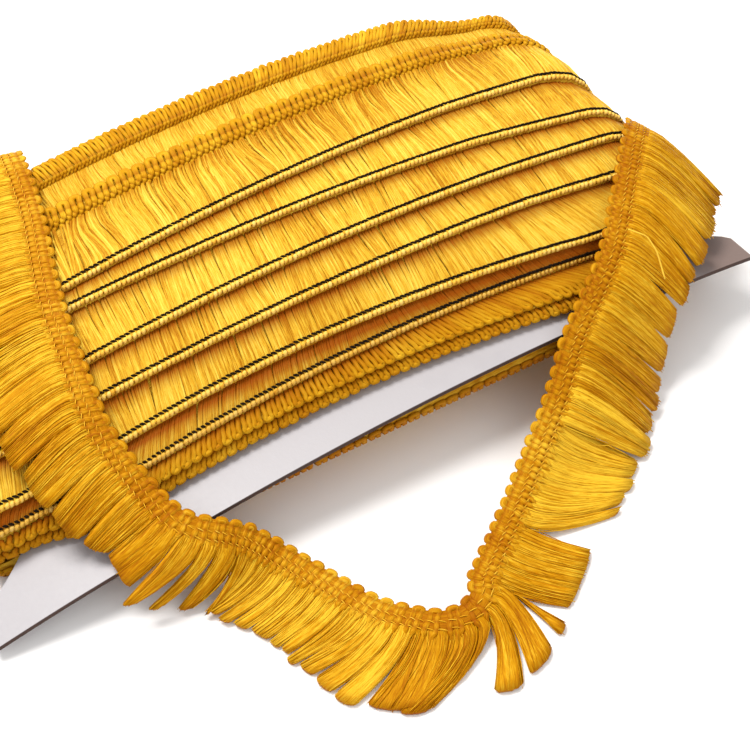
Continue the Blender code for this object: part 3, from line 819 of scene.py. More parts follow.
@dataclass
class WindingForm:
    """The winding's outer skin as a grid of stations round the card and rows across it."""

    card: WindingCard
    seat_gap: float = 0.3
    reach: float = 121.3
    skew: float = 0.035
    rounding: float = 1.2
    rounding_inset: float = 7.0
    least_reach: float = 2.0
    shoulder_power: float = 3.0
    squeeze_start: float = 0.66
    squeeze_end: float = 0.45
    squeeze_free_y: float = 45.0
    drop: float = 5.0
    drop_start_y: float = 18.0
    drop_run: float = 26.0
    left_x: float = -100.0
    right_x: float = 65.0
    end_x: float = 100.0
    core_x: float = 92.0
    core_y: float = 40.0
    top_stations: int = 73
    end_stations: int = 14
    under_stations: int = 33
    grid: np.ndarray = field(init=False)

    def __post_init__(self) -> None:
        """Work out the grid."""
        self.grid = np.array(self._sections())

    def _profile(self, rows: Sequence[Row], x: float) -> np.ndarray:
        """The rows at one place along the card.

        Args:
            rows: the rows of the upper or the lower side.
            x: the place along the card.

        Returns:
            One (y, height, proud) for each of the upper side's rows.
        """
        inner = min(x, self.right_x)
        outer = max(0.0, min(1.0, (x - self.right_x) / (self.end_x - self.right_x)))
        points = []
        for row in rows:
            left = (row.left_y - row.middle_y) / self.left_x
            right = (row.right_y - row.middle_y) / self.right_x
            bend = (right - left) / (self.right_x - self.left_x)
            y = row.middle_y + (right + bend * (inner - self.right_x)) * inner
            points.append((y + (row.end_y - row.right_y) * outer, row.height, row.proud))
        while len(points) < len(TOP_ROWS):
            spans = [abs(b[0] - a[0]) for a, b in zip(points, points[1:])]
            widest = spans.index(max(spans))
            a, b = points[widest], points[widest + 1]
            points.insert(widest + 1, tuple((p + q) / 2 for p, q in zip(a, b)))
        return np.array(points)

    def _end_blend(self, share: float) -> float:
        """How far a section has gone into its end shape."""
        blend = max(0.0, (abs(share) - self.squeeze_start) / (1.0 - self.squeeze_start))
        return blend * blend * (3.0 - 2.0 * blend)

    def _squeeze(self, y: np.ndarray, share: float) -> np.ndarray:
        """Draw the sides in towards the notch near the card's ends.

        Args:
            y: places across the card.
            share: place along the card, -1 to 1.

        Returns:
            The places drawn in.
        """
        keep = 1.0 + (self.squeeze_end - 1.0) * self._end_blend(share)
        over = np.maximum(np.abs(y) - self.squeeze_free_y, 0.0)
        return np.sign(y) * (np.minimum(np.abs(y), self.squeeze_free_y) + over * keep)

    def _dropped(self, y: np.ndarray, height: np.ndarray, share: float) -> np.ndarray:
        """Heights with the back rows lying lower near the ends.

        Args:
            y: places across the card.
            height: heights over the seat.
            share: place along the card, -1 to 1.

        Returns:
            The lowered heights.
        """
        back = np.clip((y - self.drop_start_y) / self.drop_run, 0.0, 1.0)
        low = np.minimum(height, self.seat_gap)
        return np.maximum(low, height - self.drop * back * self._end_blend(share))

    def _flat_section(self, rows: Sequence[Row], share: float, side: int) -> np.ndarray:
        """One section on a face of the card.

        Args:
            rows: the rows of that side.
            share: place along the card, -1 to 1.
            side: 1 for the upper face and -1 for the lower one.

        Returns:
            The section's points.
        """
        points = self._profile(rows, share * float(self.card.end(0.0)))
        height = points[:, 1]
        if side > 0:
            height = self._dropped(points[:, 0], height, share)
        y = self._squeeze(points[:, 0], share)
        x = share * self.card.end(y)
        seat = self.card.top(x) + self.seat_gap
        if side < 0:
            seat = self.card.top(x) - self.card.thickness - self.seat_gap
        return np.stack([x, y, np.maximum(0.0, seat + side * height)], axis=-1)

    def _end_section(self, end: int, angle: float) -> np.ndarray:
        """One section round an end of the card.

        Args:
            end: 1 for the right end and -1 for the left one.
            angle: 0 on top and half a turn underneath.

        Returns:
            The section's points.
        """
        reach = end * float(self.card.end(0.0))
        top = self._profile(TOP_ROWS, reach)
        under = self._profile(UNDER_ROWS, reach)
        turn = angle / math.pi
        half_gap = self.card.thickness / 2 + self.seat_gap
        y = self._squeeze(top[:, 0] + (under[:, 0] - top[:, 0]) * turn, 1.0)
        proud = top[:, 2] + (under[:, 2] - top[:, 2]) * turn
        edge = self.card.end(y)
        middle = self.card.top(end * edge) - self.card.thickness / 2
        depth = np.minimum(under[:, 1], middle - half_gap)
        upper = self._dropped(top[:, 0], top[:, 1], 1.0)
        over = half_gap + (upper if angle < math.pi / 2 else depth)
        share = np.abs(y) / (self.card.horn_inner_y - self.rounding_inset)
        out = self.reach + self.skew * y - self.rounding * share ** 4
        across = np.maximum(self.least_reach, out - edge) + proud * math.sin(angle)
        power = self.shoulder_power
        up = (abs(math.cos(angle)) / over) ** power
        side = (abs(math.sin(angle)) / across) ** power
        radius = (up + side) ** (-1.0 / power)
        x = end * (edge + radius * math.sin(angle))
        return np.stack([x, y, np.maximum(0.0, middle + radius * math.cos(angle))], axis=-1)

    def _sections(self) -> list[np.ndarray]:
        """All sections of the skin.

        Returns:
            Sections over the top, round the left end, underneath and round the right end.
        """
        made = []
        for k in range(self.top_stations):
            share = math.sin((1.0 - 2.0 * k / (self.top_stations - 1)) * math.pi / 2)
            made.append(self._flat_section(TOP_ROWS, share, 1))
        for k in range(1, self.end_stations + 1):
            made.append(self._end_section(-1, math.pi * k / (self.end_stations + 1)))
        for k in range(self.under_stations):
            share = math.sin((2.0 * k / (self.under_stations - 1) - 1.0) * math.pi / 2)
            made.append(self._flat_section(UNDER_ROWS, share, -1))
        for k in range(self.end_stations, 0, -1):
            made.append(self._end_section(1, math.pi * k / (self.end_stations + 1)))
        return made

    def span(self, stretch: Stretch) -> tuple[float, float]:
        """First and last station of a stretch.

        Args:
            stretch: the stretch wanted.

        Returns:
            The first and last station, the first one below 0 where it wraps.
        """
        if stretch is Stretch.OVER:
            return -float(self.end_stations), float(self.top_stations - 1 + self.end_stations)
        first = self.top_stations + self.end_stations
        return float(first), float(first + self.under_stations - 1)

    def at(self, station: np.ndarray, row: np.ndarray) -> np.ndarray:
        """Points on the skin.

        Args:
            station: places round the card, wrapping.
            row: places across, in row numbers.

        Returns:
            Positions with one more axis.
        """
        total = len(self.grid)
        low = np.floor(station).astype(int)
        part = (station - low)[..., None]
        row_low = np.clip(np.floor(row).astype(int), 0, self.grid.shape[1] - 2)
        row_part = (row - row_low)[..., None]
        a, b = low % total, (low + 1) % total
        near = self.grid[a, row_low] * (1 - row_part) + self.grid[a, row_low + 1] * row_part
        far = self.grid[b, row_low] * (1 - row_part) + self.grid[b, row_low + 1] * row_part
        return near * (1 - part) + far * part

    def outward(self, station: np.ndarray, row: np.ndarray) -> np.ndarray:
        """Outward directions of the skin, smoothed over a few rows.

        Args:
            station: places round the card.
            row: places across, in row numbers.

        Returns:
            Directions of length one.
        """
        round_it = self.at(station + 0.8, row) - self.at(station - 0.8, row)
        high = np.minimum(row + 0.9, self.grid.shape[1] - 1.001)
        across = self.at(station, high) - self.at(station, np.maximum(row - 0.9, 0.0))
        here = self.at(station, row)
        core = here.copy()
        core[..., 0] = np.clip(core[..., 0], -self.core_x, self.core_x)
        core[..., 1] = np.clip(core[..., 1], -self.core_y, self.core_y)
        core[..., 2] = self.card.top(core[..., 0])
        return facing(unit(np.cross(round_it, across)), here - core)

    def row(self, name: str, stretch: Stretch) -> int:
        """The number of a named row of a stretch."""
        return [item.name for item in ROWS[stretch]].index(name)


@dataclass
class Band:
    """The stretch of the winding's skin between two rows, root first and rim last."""

    form: WindingForm
    root: float
    rim: float
    first: float
    last: float
    sample: int = 900

    def __post_init__(self) -> None:
        """Measure the rim."""
        self.stations = np.linspace(self.first, self.last, self.sample)
        self.travelled = travelled(self._on(self.stations, self.rim))
        self.length = float(self.travelled[-1])

    def _on(self, station: np.ndarray, row: float) -> np.ndarray:
        """Points of the skin on one row."""
        return self.form.at(station, np.full(station.shape, float(row)))

    def _across(self, station: np.ndarray) -> np.ndarray:
        """Vectors from the root to the rim."""
        return self._on(station, self.rim) - self._on(station, self.root)

    def station(self, along: np.ndarray) -> np.ndarray:
        """Stations at distances along the rim."""
        return np.interp(along, self.travelled, self.stations)

    def place(self, along: np.ndarray, share: np.ndarray, lift: np.ndarray) -> np.ndarray:
        """Points of the band.

        Args:
            along: distance along the rim.
            share: 0 at the root and 1 at the rim, less or more beyond them.
            lift: height above the skin.

        Returns:
            Positions.
        """
        along, share, lift = np.broadcast_arrays(along, share, lift)
        station = self.station(along)
        inside = np.clip(share, 0.0, 1.0)
        point = self.form.at(station, self.root + (self.rim - self.root) * inside)
        point = point + self._across(station) * (share - inside)[..., None]
        return point + self.normal(along) * lift[..., None]

    def normal(self, along: np.ndarray) -> np.ndarray:
        """Outward directions of the band, from its own two rows.

        Args:
            along: distances along the rim.

        Returns:
            Directions of length one.
        """
        station = self.station(along)
        mid = (self.rim + self.root) / 2
        travel = self._on(station + 0.6, mid) - self._on(station - 0.6, mid)
        rough = self.form.outward(station, np.full(station.shape, mid))
        return facing(unit(np.cross(travel, self._across(station))), rough)

    def width(self, along: np.ndarray) -> np.ndarray:
        """Width of the band at distances along the rim."""
        return np.linalg.norm(self._across(self.station(along)), axis=-1)


@dataclass
class FringeTurn:
    """The fringe of one turn: its yarns, the dark chain near the tips and the pale tips."""

    band: Band
    painted_shade: float = 0.0
    most_shade: float = 0.95
    foot_shadow: float = 0.9
    foot_depth: float = 4.0
    foot_power: float = 2.2
    tone: float = 0.56
    contrast: float = 0.11
    tone_run: float = 3.0
    root_tone: float = 0.0
    root_tone_depth: float = 5.0
    wave: float = 0.15
    wave_run: float = 3.2
    pitch: float = 0.50
    crowding: float = 0.16
    radius: float = 0.43
    radius_spread: float = 0.15
    flatness: float = 0.9
    steps: int = 8
    end_margin: float = 0.3
    slant: float = 0.15
    slant_spread: float = 0.02
    slant_drift: float = 0.10
    slant_run: float = 9.0
    sway_spread: float = 0.10
    bulge: float = 0.45
    clump_lift: float = 0.07
    clump_run: float = 2.6
    tucked: float = 3.0
    chain: bool = True
    chain_from_tip: float = 1.40
    chain_pull: float = 0.30
    bead_pitch: float = 1.45
    bead_spread: float = 0.08
    bead_tone: float = 0.66
    bead_girths: tuple[float, ...] = (0.34, 0.56, 0.68, 0.70, 0.62, 0.36)
    stitch_girths: tuple[float, ...] = (0.16, 0.34, 0.44, 0.36, 0.16)
    seed: int = 1

    def yarns(self, sheaf: Strands) -> None:
        """Lay the yarns side by side from under the turn above to the tips.

        Args:
            sheaf: the piece that takes them.
        """
        rng = np.random.default_rng(self.seed)
        count = int(self.band.length / self.pitch)
        along = np.linspace(self.end_margin, self.band.length - self.end_margin, count)
        along = along + rng.normal(0.0, self.pitch * self.crowding, count)
        width = np.maximum(self.band.width(along), 2.0)
        start = (-self.tucked / width)[:, None]
        t = np.linspace(0.0, 1.0, self.steps)[None, :]
        share = start + (1.0 - start) * t
        inside = np.clip(share, 0, 1)
        lean = self.slant + rng.normal(0.0, self.slant_spread, count)
        lean = lean + self.slant_drift * drift(along, self.slant_run, rng)
        swing = self.wave * (0.9 + 0.6 * drift(along, self.wave_run, rng))[:, None]
        sway = swing * np.sin(inside * 1.5 * math.pi + 0.3)
        sway = sway + rng.normal(0.0, self.sway_spread, count)[:, None] * np.sin(t * math.pi)
        place = along[:, None] - (1.0 - share) * (width * lean)[:, None] + sway
        crown = self.bulge * np.sin(inside * math.pi) ** 0.8
        clump = self.clump_lift * drift(along, self.clump_run, rng)
        clump = clump + rng.uniform(-self.clump_lift, self.clump_lift, count)
        lift = crown + clump[:, None] * np.clip(3 * t, 0, 1)
        if self.chain:
            from_chain = (1.0 - share) * width[:, None] - self.chain_from_tip
            lift = lift - self.chain_pull * np.exp(-(from_chain ** 2) / 0.8)
        path = self.band.place(place, share, lift)
        wide = 1.0 + rng.uniform(-self.radius_spread, self.radius_spread, count)
        wide = self.radius * wide[:, None]
        points = rings_along(path, self.band.normal(place), wide, wide * self.flatness, ARCH)
        strand = 1.2 * rng.normal(0, 1, count) + 0.7 * drift(along, self.tone_run, rng)
        tone = (self.tone + self.contrast * strand)[:, None]
        depth = inside * width[:, None]
        tone = tone - self.root_tone * np.exp(-depth / self.root_tone_depth)
        # Painted shade: the turn's own painted shade, plus a painted shadow at the foot, where the
        # tips of the turn above overhang.
        foot = np.exp(-((depth / self.foot_depth) ** self.foot_power)) * self.foot_shadow
        shade = np.clip(self.painted_shade + foot, 0.0, self.most_shade)
        sheaf.grid(points, np.clip(tone, 0, 1)[..., None], shade[..., None])

    def _middles(self) -> np.ndarray:
        """Places of the beads and stitches along the rim."""
        return (np.arange(int(self.band.length / self.bead_pitch)) + 0.5) * self.bead_pitch

    def tips(self, sheaf: Strands) -> None:
        """Bunch the yarn tips into a low beaded edge.

        Args:
            sheaf: the piece that takes it.
        """
        rng = np.random.default_rng(self.seed + 40)
        middle = self._middles()
        count = len(middle)
        middle = middle + rng.normal(0, self.bead_spread, count)
        width = np.maximum(self.band.width(middle), 1.0)[:, None]
        t = np.linspace(0.0, 1.0, len(self.bead_girths))[None, :]
        along = middle[:, None] + (t - 0.5) * self.bead_pitch * 0.7
        reach = rng.normal(0.0, 0.07, count)[:, None]
        share = 1.0 + (-0.60 + 0.80 * np.sin(t * math.pi / 2) + reach) / width
        path = self.band.place(along, share, 0.38 - 1.05 * t ** 2.2)
        up = self.band.normal(along) + unit(np.gradient(path, axis=1)) * 0.01
        girth = np.array(self.bead_girths)[None, :]
        points = rings_along(path, up, girth, girth * 0.66, HEXAGON)
        tone = np.clip(rng.normal(self.bead_tone, 0.12, count), 0, 1)[:, None, None]
        # Painted shade: the lower half of each bead is darkened, as it hangs down away from the
        # light.
        shade = np.clip(self.painted_shade + 0.5 * np.clip(t - 0.5, 0, 1), 0, 0.8)[..., None]
        sheaf.grid(points, tone, shade, closed=True)

    def stitches(self, sheaf: Strands) -> None:
        """Sew the dark chain just above the tips.

        Args:
            sheaf: the piece that takes it.
        """
        rng = np.random.default_rng(self.seed + 80)
        middle = self._middles()
        t = np.linspace(-0.56, 0.56, len(self.stitch_girths))[None, :]
        along = middle[:, None] + t * self.bead_pitch
        width = np.maximum(self.band.width(middle), 1.0)[:, None]
        reach = self.chain_from_tip + rng.normal(0, 0.05, len(middle))[:, None]
        share = 1.0 - (reach + 0.85 * t) / width
        path = self.band.place(along, share, 0.46 + 0.15 * np.cos(t * math.pi))
        girth = np.array(self.stitch_girths)[None, :]
        points = rings_along(path, self.band.normal(along), girth, girth * 0.85, HEXAGON)
        sheaf.grid(points, 0.5, 0.0, closed=True)


@dataclass
class Ground:
    """The loose heading's own surface, for the same stitches as on a wound heading."""

    edges: np.ndarray
    inward: np.ndarray
    normals: np.ndarray
    travelled: np.ndarray
    broad: float

    @property
    def length(self) -> float:
        """Length of the looped edge."""
        return float(self.travelled[-1])

    def _read(self, values: np.ndarray, along: np.ndarray) -> np.ndarray:
        """A vector read at distances along the edge."""
        return read(along, self.travelled, values)

    def place(self, along: np.ndarray, share: np.ndarray, lift: np.ndarray) -> np.ndarray:
        """Points of the heading.

        Args:
            along: distance along the looped edge.
            share: 0 at the root and 1 at the rim.
            lift: height above the middle of the heading.

        Returns:
            Positions.
        """
        along, share, lift = np.broadcast_arrays(along, share, lift)
        across = (1.0 - share) * self.broad
        point = self._read(self.edges, along) + self._read(self.inward, along) * across[..., None]
        return point + self._read(self.normals, along) * lift[..., None]

    def normal(self, along: np.ndarray) -> np.ndarray:
        """Upward directions of the heading."""
        return self._read(self.normals, along)

    def width(self, along: np.ndarray) -> np.ndarray:
        """The heading's width."""
        return np.full(np.shape(along), self.broad)


@dataclass
class Heading:
    """A looped heading: yarns laid across it, looped back at its rim and held by chains."""

    ground: Union[Band, Ground]
    painted_shade: float = 0.0
    loop_pitch: float = 4.3
    leg_spread: float = 0.25
    leg_width: float = 1.06
    leg_height: float = 0.74
    base_lift: float = 0.25
    chain_lines: tuple[float, ...] = (0.06, 0.38, 0.70)
    pinch: float = 0.62
    pinch_width: float = 0.072
    leg_steps: int = 15
    loop_reach: float = 0.30
    foot: float = -0.02
    sink: float = 0.6
    slant: float = 0.16
    rise_share: float = 0.84
    loop_share: float = 0.16
    spread: float = 0.10
    tones: tuple[Sequence[float], Sequence[float]] = ((0.0,), (0.50,))
    pinch_shadow: float = 0.55
    root_shadow: float = 0.0
    root_shadow_depth: float = 2.2
    most_shade: float = 0.9
    stitch_girths: tuple[float, ...] = (0.6, 1.0, 1.1, 1.0, 0.6)
    stitch_radius: float = 0.14
    seed: int = 5

    def lay(self, sheaf: Strands) -> None:
        """Lay each yarn up the heading, round its loop and back.

        Args:
            sheaf: the piece that takes them.
        """
        rng = np.random.default_rng(self.seed)
        count = int(self.ground.length / self.loop_pitch)
        middle = (np.arange(count) + 0.5) * self.loop_pitch + rng.normal(0, self.spread, count)
        width = np.maximum(self.ground.width(middle), 2.0)[:, None]
        rise = np.linspace(self.foot, self.rise_share, self.leg_steps)
        arc = np.linspace(-0.5, 0.5, 7)[1:-1] * math.pi
        side = self.leg_spread * self.loop_pitch
        out = np.concatenate([rise, np.full(len(arc), self.rise_share), rise[::-1]])[None, :]
        bow = np.concatenate([0 * rise, np.cos(arc), 0 * rise])[None, :]
        across = np.concatenate([-1 + 0 * rise, np.sin(arc), 1 + 0 * rise])[None, :]
        reach = self.loop_share * width + self.loop_reach
        reach = reach + rng.normal(0, self.spread, count)[:, None]
        share = out + bow * (reach - self.leg_width * 0.8) / width
        nearest = np.min(np.abs(out[..., None] - np.array(self.chain_lines)), axis=-1)
        swell = 1.0 - self.pinch * np.exp(-((nearest / self.pinch_width) ** 2))
        lean = 0.25 * np.sin(out * 9.0) * np.sign(across)
        along = middle[:, None] + across * side + lean * 0.5 - (out - 1.0) * self.slant * width
        lift = self.base_lift + self.leg_height * 0.45 * (swell - 0.6)
        lift = lift - self.sink * np.clip(-out / 0.3, 0.0, 1.0)
        path = self.ground.place(along, share, lift)
        taper = 1.0 - 0.75 * np.clip(-out / 0.2, 0.0, 1.0)
        wide = self.leg_width * (0.86 + 0.14 * swell) * (1.0 + 0.10 * bow) * taper
        tall = self.leg_height * swell * taper
        points = rings_along(path, self.ground.normal(along), wide, tall, HEXAGON)
        tone = np.interp(middle, *self.tones) + rng.normal(0, self.spread, count)
        # Painted shade in the pinches at the chain lines, and a painted shadow at the root, under
        # the edge above it.
        dip = self.pinch_shadow * (1.0 - swell) / self.pinch
        inside = np.clip(share, 0, 1) * width
        dip = dip + self.root_shadow * np.exp(-inside / self.root_shadow_depth)
        shade = np.clip(self.painted_shade + dip, 0, self.most_shade)[..., None]
        sheaf.grid(points, np.clip(tone, 0, 1)[:, None, None], shade, closed=True)

    def stitches(self, sheaf: Strands) -> None:
        """Hold the yarns, on both faces, with small slanting stitches along two chain lines.

        Args:
            sheaf: the piece that takes them.
        """
        rng = np.random.default_rng(self.seed + 2)
        pitch = self.loop_pitch / 2
        count = int(self.ground.length / pitch)
        middle = (np.arange(count) + 0.5) * pitch
        width = np.maximum(self.ground.width(middle), 2.0)[:, None]
        t = np.linspace(-0.5, 0.5, len(self.stitch_girths))[None, :]
        girth = self.stitch_radius * np.array(self.stitch_girths)[None, :]
        for side in (1.0, -1.0):
            lift = self.base_lift * side + 0.34 + 0.26 * np.cos(t * math.pi)
            for line in self.chain_lines[:2]:
                along = middle[:, None] + t * pitch * 0.72 + rng.normal(0, 0.05, count)[:, None]
                share = line + (0.55 * t + rng.normal(0, 0.05, count)[:, None]) / width
                path = self.ground.place(along, share, lift * side)
                up = self.ground.normal(along) * side
                points = rings_along(path, up, girth, girth, SQUARE)
                tone = np.clip(rng.normal(0.50, 0.16, count), 0, 1)[:, None, None]
                sheaf.grid(points, tone, min(self.painted_shade, 0.6), closed=True)


class TurnPlan(NamedTuple):
    """Which rows one visible turn of fringe runs between, how it lies, and its painted shade."""

    root: str
    rim: str
    painted_shade: float
    chain: bool
    wave: float
    root_tone: float
    foot_shadow: float = 0.95
    contrast: float = 0.11


# The lowest turns at the front face forward and down, away from the key lamp, and get more painted
# shade; foot_shadow is the painted shadow under the tips above.
TURNS = (
    TurnPlan("turn_0_root", "turn_0_fringe", 0.02, False, 0.3, 0.05, 0.2),
    TurnPlan("turn_1_root", "turn_1_tip", 0.0, True, 1.0, 0.40, 0.30, 0.15),
    TurnPlan("turn_1_foot", "turn_2_tip", 0.0, True, 0.15, 0.0),
    TurnPlan("turn_2_foot", "turn_3_tip", 0.0, True, 0.15, 0.0),
    TurnPlan("turn_3_foot", "turn_4_tip", 0.0, True, 0.15, 0.0),
    TurnPlan("turn_4_foot", "turn_5_tip", 0.04, True, 0.15, 0.05),
    TurnPlan("turn_5_foot", "turn_6_tip", 0.30, True, 0.15, 0.1),
)


class HeadingPlan(NamedTuple):
    """Which rows one visible heading of the winding runs between, and its painted shade and shadow.
    """

    root: str
    rim: str
    painted_shade: float
    root_shadow: float
    chains: tuple[float, ...] = (-1.0,)
    pitch: float = 4.3
    height: float = 0.172
    foot: float = -0.02
    slant: float = 0.16


BROAD_CHAINS = (0.06, 0.38, 0.70)
RIDGE_CHAINS = (0.06, 0.30, 0.54)

# Headings at the back get more painted shade, as they lie in shade; the front ones get a painted
# shadow at the root, under the lowest turn's tips.
HEADINGS = (
    HeadingPlan("turn_1_root", "turn_1_loops", 0.0, 0.0, BROAD_CHAINS, 4.3, 0.13, -0.2, 0.42),
    HeadingPlan("turn_0_root", "turn_0_loops", 0.0, 0.0, RIDGE_CHAINS, 2.7, 0.16, -0.2, 0.42),
    HeadingPlan("turn_6_foot", "upper_heading_edge", 0.12, 0.85, pitch=3.3),
    HeadingPlan("upper_heading_foot", "lower_heading_edge", 0.12, 0.6, pitch=3.3),
    HeadingPlan("back_step_1_foot", "back_step_1", 0.15, 0.5),
    HeadingPlan("back_step_2_foot", "back_step_2", 0.2, 0.5),
    HeadingPlan("back_step_3_foot", "back_step_3", 0.25, 0.5),
)

# The rows under the card get a deep painted shade.
UNDER_HEADINGS = (
    HeadingPlan("second_row_top", "first_row_edge", 0.5, 0.3),
    HeadingPlan("third_row_top", "second_row_edge", 0.5, 0.3),
)


@dataclass
class Winding:
    """All the turns of trim round the card."""

    form: WindingForm
    packing_depth: float = 0.25
    packing_tone: float = 0.40
    packing_shade: float = 0.15
    width_share: float = 0.247
    first_front_turn: int = 4
    first_back_heading: int = 4
    turn_seed: int = 11
    heading_seed: int = 70
    under_seed: int = 90

    def _skin(self) -> bpy.types.Object:
        """Write the closed packing that shows between the yarns.

        Returns:
            The packing.
        """
        inner = self.form.grid
        station, row = np.indices(inner.shape[:2]).astype(float)
        inner = inner - self.form.outward(station, row) * self.packing_depth
        ring = np.concatenate([inner, inner[:1]], axis=0)
        skin = Strands("wound_trim_packing")
        # Painted shade: the packing is darkened, as it shows only in the shaded gaps between yarns.
        skin.grid(ring[None], self.packing_tone, self.packing_shade)
        return skin.build(FRINGE_YARN, "wound_yarn", ["wound_trim"])

    def _band(self, plan: Union[TurnPlan, HeadingPlan], stretch: Stretch) -> Band:
        """The band of skin between a plan's two rows."""
        rows = self.form.row(plan.root, stretch), self.form.row(plan.rim, stretch)
        return Band(self.form, *rows, *self.form.span(stretch))

    def _heading(self, plan: HeadingPlan, stretch: Stretch, seed: int) -> Heading:
        """The heading of one plan.

        Args:
            plan: the rows it runs between and its shape.
            stretch: where on the winding it lies.
            seed: the seed of its own small differences.

        Returns:
            The heading.
        """
        return Heading(
            self._band(plan, stretch),
            plan.painted_shade,
            loop_pitch=plan.pitch,
            leg_width=plan.pitch * self.width_share,
            leg_height=plan.pitch * plan.height,
            chain_lines=plan.chains,
            foot=plan.foot,
            slant=plan.slant,
            root_shadow=plan.root_shadow,
            seed=seed,
        )

    def build(self) -> list[bpy.types.Object]:
        """Write the packing, the fringe, its tips and chains, and the headings.

        Returns:
            The pieces.
        """
        packing = self._skin()
        back_yarn, front_yarn = Strands("wound_fringe_back"), Strands("wound_fringe_front")
        cords, chains = Strands("wound_tip_edges"), Strands("wound_tip_chains")
        headings, back_headings = Strands("wound_headings"), Strands("wound_headings_back")
        for k, plan in enumerate(TURNS):
            turn = FringeTurn(
                self._band(plan, Stretch.OVER),
                plan.painted_shade,
                foot_shadow=plan.foot_shadow,
                contrast=plan.contrast,
                root_tone=plan.root_tone,
                wave=plan.wave,
                chain=plan.chain,
                seed=self.turn_seed + k,
            )
            turn.yarns(back_yarn if k < self.first_front_turn else front_yarn)
            if plan.chain:
                turn.tips(cords)
                turn.stitches(chains)
        for k, plan in enumerate(HEADINGS):
            heading = self._heading(plan, Stretch.OVER, self.heading_seed + k)
            heading.lay(headings if k < self.first_back_heading else back_headings)
        for k, plan in enumerate(UNDER_HEADINGS):
            self._heading(plan, Stretch.UNDER, self.under_seed + k).lay(back_headings)
        dressed = (
            (back_yarn, FRINGE_YARN),
            (front_yarn, FRINGE_YARN),
            (cords, TIP_CORD),
            (chains, CHAIN_THREAD),
            (headings, HEADING_YARN),
            (back_headings, HEADING_YARN),
        )
        return [packing] + [sheaf.build(finish, "wound_yarn") for sheaf, finish in dressed]


# The loose length


class Clump(NamedTuple):
    """Locks that lie together: the first one, how many, and their tips from side to side."""

    first: int
    size: int
    across: np.ndarray
    tips: np.ndarray


STRAY_STOPS = (
    (84.0, -64.0, 41.6),
    (88.0, -68.2, 40.2),
    (88.4, -73.0, 37.4),
    (87.4, -79.0, 31.6),
)

SLANT_PLACES = (4.0, 6.0, 10.0, 12.0, 17.0, 19.0, 21.5, 22.4)
SLANT_VALUES = (0.0, 0.9, 0.9, 0.0, 0.0, 0.9, 0.9, 0.0)
TONE_PLACES = (0.0, 4.0, 9.0, 11.2, 13.0, 16.6, 18.3, 20.5, 22.5, 26.0, 30.0, 37.0)
TONE_VALUES = (0.50, 0.56, 0.48, 1.00, 0.52, 0.32, 0.66, 0.86, 0.46, 0.44, 0.62, 0.80)


